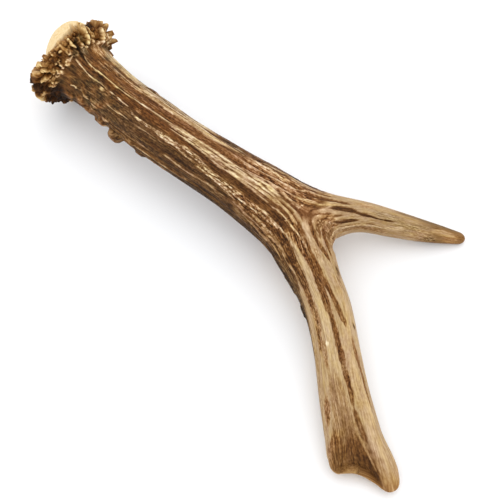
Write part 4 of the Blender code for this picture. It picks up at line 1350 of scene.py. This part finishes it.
@dataclass(frozen=True)
class Grain:
    """The ridges, the lines, the stain and the bands of painted shade that run along the bone.

    A pair whose name ends in less is how much less there is of something on the tine and on the
    upper beam. Any other pair is where something starts and where it is full, or ends.
    """

    # Ridges, finer ones and hairlines. They fade past the beam's last station, towards the burr.
    ridges: Waves = Waves(3.4, 48.0, 0.0)
    ridge_height: float = 0.35
    fine: Waves = Waves(1.4, 24.0, 31.0)
    fine_height: float = 0.22
    hairs: Waves = Waves(0.5, 13.0, 77.0)
    hair_height: float = 0.06
    least_ridging: float = 0.05
    ridge_end: Pair = (4.0, 12.0)
    ridge_loss: float = 0.7
    # How much the speckle shows and how ochre the ground is, before the streaks.
    mottle: float = 0.25
    worn_mottle: float = 0.13
    ochre: float = 0.27
    hues: tuple[Waves, ...] = (Waves(1.8, 16.0, 37.0), Waves(1.1, 3.0, 71.0))
    hue_spread: float = 0.26
    # What makes the streaks' sides ragged, and breaks the stain of the lines.
    rags: tuple[Waves, ...] = (Waves(0.9, 4.0, 43.0), Waves(0.6, 1.4, 53.0))
    rag: float = 0.11
    breaks: Waves = Waves(1.6, 7.0, 5.0)
    whole: float = 0.95
    break_depth: float = 0.4
    least_whole: float = 0.4
    # Grooves are darker than ridges, and short dashes lie on the speckled ground.
    ridge_tone: float = 0.04
    ridge_tone_less: Pair = (0.65, 0.45)
    dashes: Waves = Waves(0.6, 4.5, 67.0)
    dash_tone: float = 0.16
    # The grain swirls on top of the fork. That ends along the beam and the other arms, and starts
    # where the skin's normal rises enough.
    bends: tuple[Waves, ...] = (Waves(6.0, 6.0, 7.0), Waves(6.0, 6.0, 17.0), Waves(6.0, 6.0, 27.0))
    bend: float = 1.7
    swirls: Waves = Waves(0.75, 6.0, 91.0)
    swirl_height: float = 0.07
    swirl_tone: float = 0.22
    swirl_beam_end: Pair = (20.0, 42.0)
    swirl_arm_end: Pair = (5.0, 13.0)
    swirl_rise: Pair = (-0.2, 0.5)
    # Hairlines show dark on pale ridges, which start at a tone, where the hairs' noise is high.
    pale_tones: Pair = (0.58, 0.8)
    pale_less: Pair = (1.0, 0.75)
    pale_hairs: Pair = (0.2, 0.5)
    hair_tone: float = 0.25
    pale_ochre: float = 0.3
    # Tones between these two are drawn apart. That ends past the beam's last station.
    crisp_tones: Pair = (0.3, 0.76)
    crisp_less: Pair = (1.0, 0.6)
    crisp_end: Pair = (0.0, 8.0)
    # The neck below the burr is patchy. The neck, both arms and the worn tips are more ochre.
    neck: Pair = (72.0, 94.0)
    neck_tone: float = 0.09
    neck_warmth: float = 0.4
    worn_tine: Pair = (46.0, 54.0)
    worn_crown: Pair = (90.0, 98.0)
    worn_ochre: float = 0.25

    def work(self, skin: Skin) -> None:
        """Raises the ridges, and lays on the stains, the bands of painted shade and the lines.

        Args:
            skin: the skin.
        """
        crest = 1 - 2 * np.minimum(np.abs(self.ridges.at(skin.strand)), 1)
        fine, hair = self.fine.at(skin.strand), self.hairs.at(skin.strand)
        relief = self.ridge_height * crest + self.fine_height * fine + self.hair_height * hair
        skin.height += self._ridged(skin) * relief
        skin.mottle += self.mottle - (self.mottle - self.worn_mottle) * (skin.tine + skin.crown)
        skin.ochre += self.ochre + self.hue_spread * sum(waves.at(skin.strand) for waves in self.hues)
        ragged = self.rag * sum(waves.at(skin.strand) for waves in self.rags)
        skin.lay_all(STAINS_AND_SHADING, ragged)
        skin.tone += skin.less(self.ridge_tone_less) * self.ridge_tone * (crest + fine)
        skin.tone += self.dash_tone * skin.mottle * self.dashes.at(skin.strand)
        self._swirl(skin)
        whole = self.whole + self.break_depth * self.breaks.at(skin.strand)
        skin.lay_all(LINES, ragged, np.clip(whole, self.least_whole, 1))
        self._sharpen(skin, hair)
        self._age(skin)

    def _ridged(self, skin: Skin) -> Array:
        """Works out how ridged the bone is.

        Args:
            skin: the skin.

        Returns:
            From 0 to 1 at each point.
        """
        out = np.clip(skin.bone.length / BEAM.length(), 0, 1)
        shares = (1 - skin.tine - skin.crown, skin.tine, skin.crown)
        ridged = sum(
            share * np.maximum(arm.ridging[0] - arm.ridging[1] * out, self.least_ridging)
            for arm, share in zip(ARMS, shares)
        )
        return ridged * (1 - self.ridge_loss * ease(*self.ridge_end, skin.past)) * (1 - skin.seal)

    def _swirl(self, skin: Skin) -> None:
        """Raises and stains the swirling grain of the fork.

        Args:
            skin: the skin.
        """
        length, beam = skin.bone.length, skin.beam
        shift = np.column_stack([waves.at(skin.strand) for waves in self.bends])
        swirl = self.swirls.at(skin.strand + self.bend * shift)
        swirl *= 1 - ease(*self.swirl_beam_end, length) * beam
        swirl *= 1 - ease(*self.swirl_arm_end, length) * (1 - beam)
        swirl *= ease(*self.swirl_rise, skin.bone.normals[:, 2])
        skin.tone += self.swirl_tone * swirl
        skin.height += self.swirl_height * swirl

    def _sharpen(self, skin: Skin, hair: Array) -> None:
        """Draws the hairlines on the pale ridges, and parts the light tones from the dark.

        Args:
            skin: the skin.
            hair: the hairlines' noise at each point.
        """
        pale = ease(*self.pale_tones, skin.tone) * skin.less(self.pale_less)
        skin.tone -= self.hair_tone * pale * ease(*self.pale_hairs, hair)
        skin.ochre += self.pale_ochre * pale
        low, high = self.crisp_tones
        middle = np.clip(skin.tone, low, high)
        crisp = skin.less(self.crisp_less) * (1 - ease(*self.crisp_end, skin.past))
        skin.tone += crisp * (mixed(low, high, ease(low, high, middle)) - middle)

    def _age(self, skin: Skin) -> None:
        """Makes the neck patchy, and the neck, both arms and the worn tips more ochre.

        Args:
            skin: the skin.
        """
        length = skin.bone.length
        neck = skin.beam * ease(*self.neck, length)
        skin.tone += self.neck_tone * neck * skin.patch
        skin.warmth += self.neck_warmth * neck * skin.patch
        worn_tine = skin.tine * ease(*self.worn_tine, length)
        worn = np.maximum(worn_tine, skin.crown * ease(*self.worn_crown, length))
        skin.ochre += self.worn_ochre * (neck + skin.tine + skin.crown + worn)


@dataclass(frozen=True)
class Burr:
    """The burr's knobs and its crust, and the beam's pearls.

    A pair whose name ends in start is how far past the beam's last station something starts and is
    full. The seal takes the crust's place where it lies.
    """

    # Small knobs are strewn within a reach of the rim, off and towards the beam, and hardly off it
    # where it is low. Their sizes and warmths lie between the least and the most.
    seed: int = 11
    rim_length: float = 15.0
    rim_radius: float = 17.0
    low_rim_reach: float = 0.5
    strewn_tries: int = 1500
    strewn_reach: Pair = (-5.5, 7.0)
    strewn_radius: Pair = (0.5, 1.1)
    strewn_height: Pair = (0.9, 3.2)
    strewn_warmth: Pair = (0.75, 1.0)
    strewn_tones: tuple[float, ...] = (0.3, 0.42, 0.55, 0.68, 0.8, 0.9)
    # Each runs on by up to this length and turn, and loses these shares for each mm from the rim.
    run_length: float = 1.4
    run_turn: float = 6.0
    radius_loss: float = 0.04
    height_loss: float = 0.08
    crowding: float = 0.8
    # A knob's outline wanders and frays. Its top is flattened by one power, its sides by the other.
    wanders: tuple[Waves, ...] = (Waves(1.8, 1.8, 3.0), Waves(1.8, 1.8, 47.0))
    wander: float = 0.5
    frays: tuple[Waves, ...] = (Waves(0.9, 0.9, 8.0), Waves(0.9, 0.9, 58.0))
    fray: float = 0.28
    reach: float = 1.0
    top_power: float = 2.4
    side_power: float = 0.6
    # The crust between the knobs lies lower than the smooth bone by its drop.
    crust: Waves = Waves(1.9, 1.9, 83.0)
    crust_height: float = 0.8
    crust_cap: float = 0.8
    crust_drop: float = 0.75
    crust_start: Pair = (8.0, 13.5)
    grains: Waves = Waves(0.9, 0.9, 19.0)
    grain_height: float = 0.2
    heave: float = 0.7
    # The crust's tone, which rises off the rim, in patches and on its grains, and its other shades.
    ground: float = 0.46
    ground_off: float = 0.3
    ground_off_start: Pair = (14.5, 18.0)
    ground_patch: float = 0.34
    ground_grain: float = 0.2
    ground_tones: Pair = (0.12, 0.92)
    ground_warmth: float = 0.95
    ground_ochre: float = 0.5
    # The near side between these turns is painted nearly black, as painted shade, fading outside
    # and inside of them. Strewn knobs there keep only a share of their tone, which is painted shade too.
    shaded_turns: Pair = (78.0, 158.0)
    shaded_fade: Pair = (6.0, 8.0)
    shaded_start: Pair = (4.0, 7.5)
    shade_tone: float = 0.03
    shade_grain: float = 0.08
    shade_cover: float = 0.95
    shaded_knobs: float = 0.12
    # The knobs' worn caps start up their sides. They cover more past the beam's last station.
    caps: Pair = (0.4, 0.95)
    cap_cover: Pair = (0.6, 0.95)
    cap_grain: float = 0.26
    # The caps' grain shows less in the near side's painted shade.
    shaded_cap_less: float = 0.6
    # The dark crevices lie in the crust's creases, by its noise, and on the floor between the knobs.
    # Their dark is painted shade.
    creases: Pair = (0.04, 0.3)
    floors: Pair = (0.0, 0.5)
    flat_floor_shade: float = 0.35
    crease_shade_cover: float = 0.5
    crevice_shade_tone: float = 0.15
    crevice_shade_off: float = 0.35
    crevice_shade_off_start: Pair = (15.0, 18.5)
    mark_rag: float = 0.3

    def knobs(self) -> list[Knob]:
        """Strews small knobs between the listed ones.

        Returns:
            All of them.
        """
        chance = random.Random(self.seed)
        knobs = list(KNOBS)
        rim = BEAM.length() + self.rim_length
        for _ in range(self.strewn_tries):
            length, turn = -rim + chance.uniform(*self.strewn_reach), chance.uniform(-180, 180)
            if BEAM.low_rim[0] < turn < BEAM.low_rim[1] and length < -rim - self.low_rim_reach:
                continue
            off_rim = abs(length + rim)
            radius = chance.uniform(*self.strewn_radius) * (1 - self.radius_loss * off_rim)
            end_length = length - chance.uniform(0, self.run_length)
            end = (end_length, turn + chance.uniform(-self.run_turn, self.run_turn))
            height = chance.uniform(*self.strewn_height) * (1 - self.height_loss * off_rim)
            tone = chance.choice(self.strewn_tones)
            # Painted shade: strewn knobs on the near side keep only a share of their tone.
            if self.shaded_turns[0] < turn < self.shaded_turns[1]:
                tone *= self.shaded_knobs
            knob = Knob((length, turn), end, radius, height, tone, chance.uniform(*self.strewn_warmth))
            if all(self.apart(knob, other) for other in knobs):
                knobs.append(knob)
        return knobs

    def apart(self, knob: Knob, other: Knob) -> bool:
        """Finds whether two knobs leave a crevice between them.

        Args:
            knob: one knob.
            other: the other knob.

        Returns:
            True if they do.
        """
        middles = (np.array(knob.start) + knob.end - other.start - other.end) / 2
        across = math.radians(wrapped(middles[1])) * self.rim_radius
        halves = (abs(knob.end[0] - knob.start[0]) + abs(other.end[0] - other.start[0])) / 2
        along = max(abs(middles[0]) - halves, 0)
        return math.hypot(along, across) > self.crowding * (knob.radius + other.radius)

    def raised(self, skin: Skin) -> tuple[Array, Array, Array, Array]:
        """Works out the knobs and pearls. Where two overlap, the higher one shows.

        Args:
            skin: the skin.

        Returns:
            How high they stand, how near a top each point is, and that top's tone and warmth.
        """
        along_shift, across_shift = (
            self.wander * wide.at(skin.bone.points) + self.fray * narrow.at(skin.bone.points)
            for wide, narrow in zip(self.wanders, self.frays)
        )
        signed, turn = skin.strand[:, 2] + along_shift, skin.turns[Route.TO_CROWN]
        height, top, tone, warmth = np.zeros((4, len(turn)))
        for knob in self.knobs():
            start, end = np.array(knob.start), np.array(knob.end)
            spread = knob.radius + self.reach
            low, high = min(start[0], end[0]) - spread, max(start[0], end[0]) + spread
            near = np.flatnonzero((signed > low) & (signed < high) & (skin.tine < 0.5))
            scale = skin.radius[near]
            across = np.radians(wrapped(turn[near] - start[1])) * scale + across_shift[near]
            along = signed[near] - start[0]
            line = np.array((end[0] - start[0], math.radians(end[1] - start[1]) * scale.mean()))
            share = np.clip((along * line[0] + across * line[1]) / (line @ line), 0, 1)
            away = np.hypot(along - share * line[0], across - share * line[1]) / knob.radius
            lump = np.clip(1 - away**self.top_power, 0, 1) ** self.side_power
            won = lump * knob.height > height[near]
            height[near[won]] = knob.height * lump[won]
            top[near[won]] = lump[won]
            tone[near[won]] = knob.tone
            warmth[near[won]] = knob.warmth
        return height, top, tone, warmth

    def work(self, skin: Skin) -> None:
        """Raises the knobs, the pearls and the crust, and stains them, with painted shade
        on the near side and in the crevices.

        Args:
            skin: the skin.
        """
        past, patch, bare = skin.past, skin.patch, 1 - skin.seal
        bump, top, knob_tone, knob_warmth = self.raised(skin)
        crust, grain = np.abs(self.crust.at(skin.bone.points)), self.grains.at(skin.bone.points)
        crusted = ease(*self.crust_start, past) * bare
        lumpy = self.crust_height * np.minimum(crust, self.crust_cap) - self.crust_drop
        skin.height += bump + crusted * (lumpy + self.grain_height * grain + self.heave * patch)
        ground = self.ground + self.ground_off * ease(*self.ground_off_start, past)
        ground += self.ground_patch * patch + self.ground_grain * grain
        tone = mixed(skin.tone, np.clip(ground, *self.ground_tones), crusted)
        # Painted shade: the near side is painted nearly black, and its caps' grain shows less.
        dark = between(self.shaded_turns, *self.shaded_fade, skin.turns[Route.TO_CROWN])
        shade_share = self.shade_cover * dark * ease(*self.shaded_start, past) * bare
        tone = mixed(tone, self.shade_tone + self.shade_grain * grain, shade_share)
        capped = ease(*self.caps, top)
        grainy = self.cap_grain * (1 - self.shaded_cap_less * dark) * grain
        tone = mixed(tone, knob_tone + grainy, capped * mixed(*self.cap_cover, np.clip(past, 0, 1)))
        # Painted shade in the crust's creases and on the floor between the knobs.
        crease = 1 - ease(*self.creases, crust)
        floor = crusted * (1 - ease(*self.floors, top))
        sunk = np.maximum(floor * mixed(self.flat_floor_shade, 1, crease), self.crease_shade_cover * crusted * crease)
        crevice = self.crevice_shade_tone + self.crevice_shade_off * ease(*self.crevice_shade_off_start, past)
        skin.tone = mixed(tone, crevice, sunk)
        skin.warmth = mixed(skin.warmth, knob_warmth, np.maximum(capped, crusted * (capped > 0)))
        skin.warmth = mixed(skin.warmth, self.ground_warmth, crusted * (1 - capped))
        skin.ochre += self.ground_ochre * crusted
        for mark in BURR_MARKS:
            skin.lay(mark, Route.TO_CROWN, self.mark_rag * patch)


@dataclass(frozen=True)
class Crotch:
    """The crotch between the tine and the upper beam, a round bay with a leaning axis.

    Attributes:
        cut: how far the tine's side is cut back there.
        cut_start: the lengths between which the cut deepens.
        cut_end: the lengths between which it runs out.
        centre: a point on the bay's axis.
        lean: how far the axis leans in x and y, for each mm that it rises.
        radius: the bay's radius.
        margin: how far outside of it the skin is still moved.
        corner: the direction from the axis in which the skin is filled out to the bay's radius.
        fall: the power by which the moves fall off where the skin turns away.
    """

    cut: float = 2.8
    cut_start: Pair = (0.0, 9.0)
    cut_end: Pair = (14.0, 38.0)
    centre: Point = (26.1, 41.0, 11.0)
    lean: Pair = (0.43, -0.4)
    radius: float = 4.5
    margin: float = 2.0
    corner: Pair = (-0.99, -0.16)
    fall: float = 1.5

    def work(self, skin: Skin) -> None:
        """Cuts the tine's side back, and rounds the bay.

        Args:
            skin: the skin.
        """
        length, normals = skin.bone.length, skin.bone.normals
        side = np.clip(np.sin(np.radians(skin.turns[Route.TO_TINE])), 0, 1)
        flank = ease(*self.cut_start, length) * (1 - ease(*self.cut_end, length))
        skin.height -= self.cut * skin.tine * flank * side**self.fall
        points = skin.bone.points + normals * skin.height[:, None]
        x, y, level = self.centre
        to_axis = np.array((x, y)) + np.outer(points[:, 2] - level, self.lean) - points[:, :2]
        away = np.linalg.norm(to_axis, axis=1)
        facing = np.clip((normals[:, :2] * to_axis).sum(axis=1) / away, 0, 1)
        toward = np.clip(-(to_axis @ self.corner) / away, 0, 1) ** 2
        near = 1 - ease(self.radius, self.radius + self.margin, away)
        inside = self.radius - away
        skin.height -= np.where(inside > 0, inside, inside * toward) * near * facing**self.fall


@dataclass(frozen=True)
class Hollow:
    """The hollow on top of the upper beam's worn end.

    Attributes:
        start: the length at which it starts.
        length: how far it takes to reach its full depth and spread.
        depth: how deep it is.
        turn: how far its middle has turned from the top there.
        spread: half its width in degrees, at its start and there.
        fall: the power by which it deepens, along and across.
    """

    start: float = 50.0
    length: float = 44.0
    depth: float = 3.0
    turn: float = 7.0
    spread: Pair = (8.0, 46.0)
    fall: float = 1.5

    def work(self, skin: Skin) -> None:
        """Sinks the hollow.

        Args:
            skin: the skin.
        """
        ramp = np.clip((skin.bone.length - self.start) / self.length, 0, 1)
        away = (skin.turns[Route.TO_CROWN] - self.turn * ramp) / mixed(*self.spread, ramp)
        across = np.clip(1 - away**2, 0, 1) ** self.fall
        skin.height -= skin.crown * self.depth * ramp**self.fall * across


# ---- finishes --------------------------------------------------------
def linear(colour: str) -> tuple[float, float, float, float]:
    """A colour given as sRGB hex, as linear numbers and an alpha of one."""
    channels = [int(colour[start : start + 2], 16) / 255 for start in (1, 3, 5)]
    return (*(c / 12.92 if c <= 0.04045 else ((c + 0.055) / 1.055) ** 2.4 for c in channels), 1.0)


def add_node(
    tree: bpy.types.NodeTree, kind: str, settings: dict[str, Any], inputs: dict[str | int, Any]
) -> bpy.types.Node:
    """Adds a node.

    Args:
        tree: the node tree that it goes in.
        kind: the node's type.
        settings: its own settings. Stops are a colour ramp's places and colours.
        inputs: a number, a colour or a socket to link, for each input that isn't left as it is.

    Returns:
        The node.
    """
    node = tree.nodes.new(kind)
    for name, value in settings.items():
        if name != "stops":
            setattr(node, name, value)
            continue
        elements = node.color_ramp.elements
        while len(elements) < len(value):
            elements.new(0.5)
        for element, (place, colour) in zip(elements, value):
            element.position, element.color = place, linear(colour)
    for name, value in inputs.items():
        if isinstance(value, bpy.types.NodeSocket):
            tree.links.new(value, node.inputs[name])
        else:
            node.inputs[name].default_value = value
    return node


@dataclass(frozen=True)
class StainedShadedAntler:
    """Antler, a bone. The deer rubs it on bark, which stains its grooves and polishes its ridges.

    The eye sees cream ridges on brown ground, with a dull shine on the pale parts. The tone that it
    reads carries painted shade as well as stain, on the burr's near side, in its crevices and along
    the beams' near undersides. The stops run from a tone of 0 to 1. Fibres and flecks are noise drawn
    out along the grain: between the two values of the noise, the tone goes from darker to lighter by
    their strength.
    """

    name: str = "stained and shaded antler"
    warm: Stops = (
        (0.0, "#1c0d03"), (0.2, "#45260a"), (0.4, "#71461f"), (0.6, "#9d744b"), (0.8, "#caa783"),
        (1.0, "#edd7b6"),
    )
    grey: Stops = (
        (0.0, "#171009"), (0.2, "#352514"), (0.4, "#5d482c"), (0.6, "#8c7456"), (0.8, "#bba687"),
        (1.0, "#e3d7ba"),
    )
    # The seal is bare spongy bone, smooth and evenly cream.
    seal: Stops = ((0.3, "#d0b07b"), (0.5, "#ddc394"), (0.7, "#e1ca9e"))
    # Old bark juice yellows the bone in patches a few millimetres wide. Others stay lilac grey.
    juice: Stops = ((0.0, "#fdf9ff"), (0.35, "#fffffa"), (1.0, "#fffcd6"))
    # The bone's fibres are 0.1 mm wide or less, too fine to show, so they are drawn coarser. The
    # plain share of them shows anywhere, and the mottled share as well where all is mottled.
    fibre: Waves = Waves(0.42, 8.0, 11.0)
    fibre_noise: Pair = (0.37, 0.63)
    fibre_strength: float = 0.13
    plain_share: float = 0.3
    mottled_share: float = 1.2
    # Flecks where the stain has worn off in spots of half a millimetre, a little longer than wide.
    fleck: Waves = Waves(0.5, 1.4, 23.0)
    fleck_noise: Pair = (0.4, 0.6)
    fleck_strength: float = 0.24
    # The seal's pores are 0.3 mm wide, drawn twice as coarse.
    pore: Waves = Waves(0.7, 0.7, 5.0)
    octaves: float = 2.0
    octave_strength: float = 0.6
    # How far the fibres and flecks stand up in mm, and how much of that is felt.
    bump_height: float = 0.15
    bump: float = 0.5
    # Bone's own index. Its shine is weak, for it isn't polished all over.
    ior: float = 1.54
    shine: float = 0.09
    # The tones of the grooves and of the polished ridges, and their roughness.
    polish_tones: Pair = (0.2, 0.8)
    polish: Pair = (0.62, 0.42)

    def material(self) -> bpy.types.Material:
        """Builds the finish, which reads the skin's attributes.

        Returns:
            The material.
        """
        material = bpy.data.materials.new(self.name)
        material.use_nodes = True
        tree = material.node_tree
        shader = tree.nodes["Principled BSDF"]
        skin = {
            name: add_node(tree, "ShaderNodeAttribute", {"attribute_name": name}, {})
            for name in (*SHADES, "strand")
        }
        mottle = skin["mottle"].outputs["Fac"]
        noises = []
        for waves in (self.fibre, self.fleck, self.pore):
            inputs = {
                "Vector": skin["strand"].outputs["Vector"],
                "Location": (waves.start, 0, 0),
                "Scale": (1 / waves.width, 1 / waves.width, 1 / waves.length),
            }
            place = add_node(tree, "ShaderNodeMapping", {"vector_type": "POINT"}, inputs)
            inputs = {"Vector": place.outputs["Vector"], "Scale": 1.0}
            inputs |= {"Detail": self.octaves, "Roughness": self.octave_strength}
            noises.append(add_node(tree, "ShaderNodeTexNoise", {}, inputs).outputs["Fac"])
        marks = []
        for source, (low, high), strength in (
            (noises[0], self.fibre_noise, self.fibre_strength),
            (noises[1], self.fleck_noise, self.fleck_strength),
        ):
            inputs = {"Value": source, "From Min": low, "From Max": high}
            inputs |= {"To Min": -strength, "To Max": strength}
            marks.append(add_node(tree, "ShaderNodeMapRange", {}, inputs).outputs["Result"])
        inputs = {0: mottle, 1: self.mottled_share, 2: self.plain_share}
        share = add_node(tree, "ShaderNodeMath", {"operation": "MULTIPLY_ADD"}, inputs).outputs[0]
        inputs = {0: marks[0], 1: share}
        fibres = add_node(tree, "ShaderNodeMath", {"operation": "MULTIPLY"}, inputs).outputs[0]
        inputs = {0: marks[1], 1: mottle, 2: fibres}
        detail = add_node(tree, "ShaderNodeMath", {"operation": "MULTIPLY_ADD"}, inputs).outputs[0]
        inputs = {0: skin["tone"].outputs["Fac"], 1: detail}
        tone = add_node(tree, "ShaderNodeMath", {"operation": "ADD"}, inputs).outputs[0]
        grey, warm, cream, juice = (
            add_node(tree, "ShaderNodeValToRGB", {"stops": stops}, {"Fac": place}).outputs["Color"]
            for stops, place in (
                (self.grey, tone),
                (self.warm, tone),
                (self.seal, noises[2]),
                (self.juice, skin["ochre"].outputs["Fac"]),
            )
        )
        colour = grey
        for blend, cover, over in (
            ("MIX", skin["warmth"].outputs["Fac"], warm),
            ("MULTIPLY", 1.0, juice),
            ("MIX", skin["seal"].outputs["Fac"], cream),
        ):
            settings = {"data_type": "RGBA", "blend_type": blend}
            colour = add_node(tree, "ShaderNodeMix", settings, {0: cover, 6: colour, 7: over}).outputs[2]
        inputs = {"Value": tone, "From Min": self.polish_tones[0], "From Max": self.polish_tones[1]}
        inputs |= {"To Min": self.polish[0], "To Max": self.polish[1]}
        rough = add_node(tree, "ShaderNodeMapRange", {}, inputs)
        inputs = {"Strength": self.bump, "Distance": self.bump_height * MM, "Height": detail}
        bump = add_node(tree, "ShaderNodeBump", {}, inputs)
        tree.links.new(colour, shader.inputs["Base Color"])
        tree.links.new(rough.outputs["Result"], shader.inputs["Roughness"])
        tree.links.new(bump.outputs["Normal"], shader.inputs["Normal"])
        shader.inputs["IOR"].default_value = self.ior
        shader.inputs["Specular IOR Level"].default_value = self.shine
        return material


@dataclass(frozen=True)
class MattPaper:
    """Thick white paper off the roll, not coated. The eye sees no shine, only the soft shadow."""

    name: str = "matt white paper"
    colour: str = "#f0f0f0"
    ior: float = 1.5
    roughness: float = 0.9
    shine: float = 0.2

    def material(self) -> bpy.types.Material:
        """Builds the finish.

        Returns:
            The material.
        """
        material = bpy.data.materials.new(self.name)
        material.use_nodes = True
        inputs = material.node_tree.nodes["Principled BSDF"].inputs
        inputs["Base Color"].default_value = linear(self.colour)
        inputs["IOR"].default_value = self.ior
        inputs["Roughness"].default_value = self.roughness
        inputs["Specular IOR Level"].default_value = self.shine
        return material


# ---- studio ----------------------------------------------------------
@dataclass(frozen=True)
class Studio:
    """The pale floor, the soft light and the camera, in metres and watts.

    The key is one broad light. Its bearing round the antler is from x towards y. The sky is the
    white room's own light. The lens is in mm.
    """

    floor_size: float = 4.0
    floor_finish: MattPaper = MattPaper()
    key_size: float = 1.8
    key_distance: float = 1.1
    key_elevation: float = 58.0
    key_bearing: float = 100.0
    key_power: float = 1.7
    sky: float = 1.4
    sky_colour: str = "#fcfdff"
    lens: float = 100.0
    camera_place: Point = (0.221605, -0.16969, 0.4617)
    camera_target: Point = (0.002575, -0.01735, -0.0005)

    def lay_floor(self) -> None:
        """Lays the floor under the antler."""
        half = self.floor_size / 2
        corners = [(-half, -half, 0), (half, -half, 0), (half, half, 0), (-half, half, 0)]
        mesh = bpy.data.meshes.new("floor")
        mesh.from_pydata(corners, [], [(0, 1, 2, 3)])
        mesh.materials.append(self.floor_finish.material())
        add_object("floor", mesh)

    def light(self) -> None:
        """Hangs one broad light, and lights the white room."""
        world = bpy.data.worlds.new("white room")
        world.use_nodes = True
        background = world.node_tree.nodes["Background"].inputs
        background["Color"].default_value = linear(self.sky_colour)
        background["Strength"].default_value = self.sky
        bpy.context.scene.world = world
        lamp = bpy.data.lights.new("key", "AREA")
        lamp.size, lamp.energy = self.key_size, self.key_power
        bearing, elevation = math.radians(self.key_bearing), math.radians(self.key_elevation)
        flat = math.cos(elevation)
        towards = Vector((math.cos(bearing) * flat, math.sin(bearing) * flat, math.sin(elevation)))
        key = add_object("key", lamp)
        key.location = towards * self.key_distance
        key.rotation_euler = towards.to_track_quat("Z", "Y").to_euler()

    def aim_camera(self) -> None:
        """Places the camera as the photograph was taken."""
        data = bpy.data.cameras.new("camera")
        data.lens = self.lens
        camera = add_object("camera", data)
        camera.location = self.camera_place
        aim = Vector(self.camera_target) - Vector(self.camera_place)
        camera.rotation_euler = aim.to_track_quat("-Z", "Y").to_euler()
        bpy.context.scene.camera = camera
        bpy.context.scene.view_settings.view_transform = "Standard"


def main() -> None:
    """Builds and dresses the antler's pieces, then the studio."""
    cage = Cage()
    for arm in ARMS:
        cage.add(arm)
    bone = cage.rounded(levels=2)
    skin = Skin(bone)
    for feature in (Seal(), Grain(), Burr(), Crotch(), Hollow()):
        feature.work(skin)
    skin.settle()
    finish = StainedShadedAntler().material()
    for arm in ARMS:
        piece = arm.build(bone, skin)
        arm.dress(piece, finish)
        log.info("%s: %d faces", piece.name, len(piece.data.polygons))
    studio = Studio()
    studio.lay_floor()
    studio.light()
    studio.aim_camera()


if __name__ == "__main__":
    logging.basicConfig(level=logging.INFO)
    main()
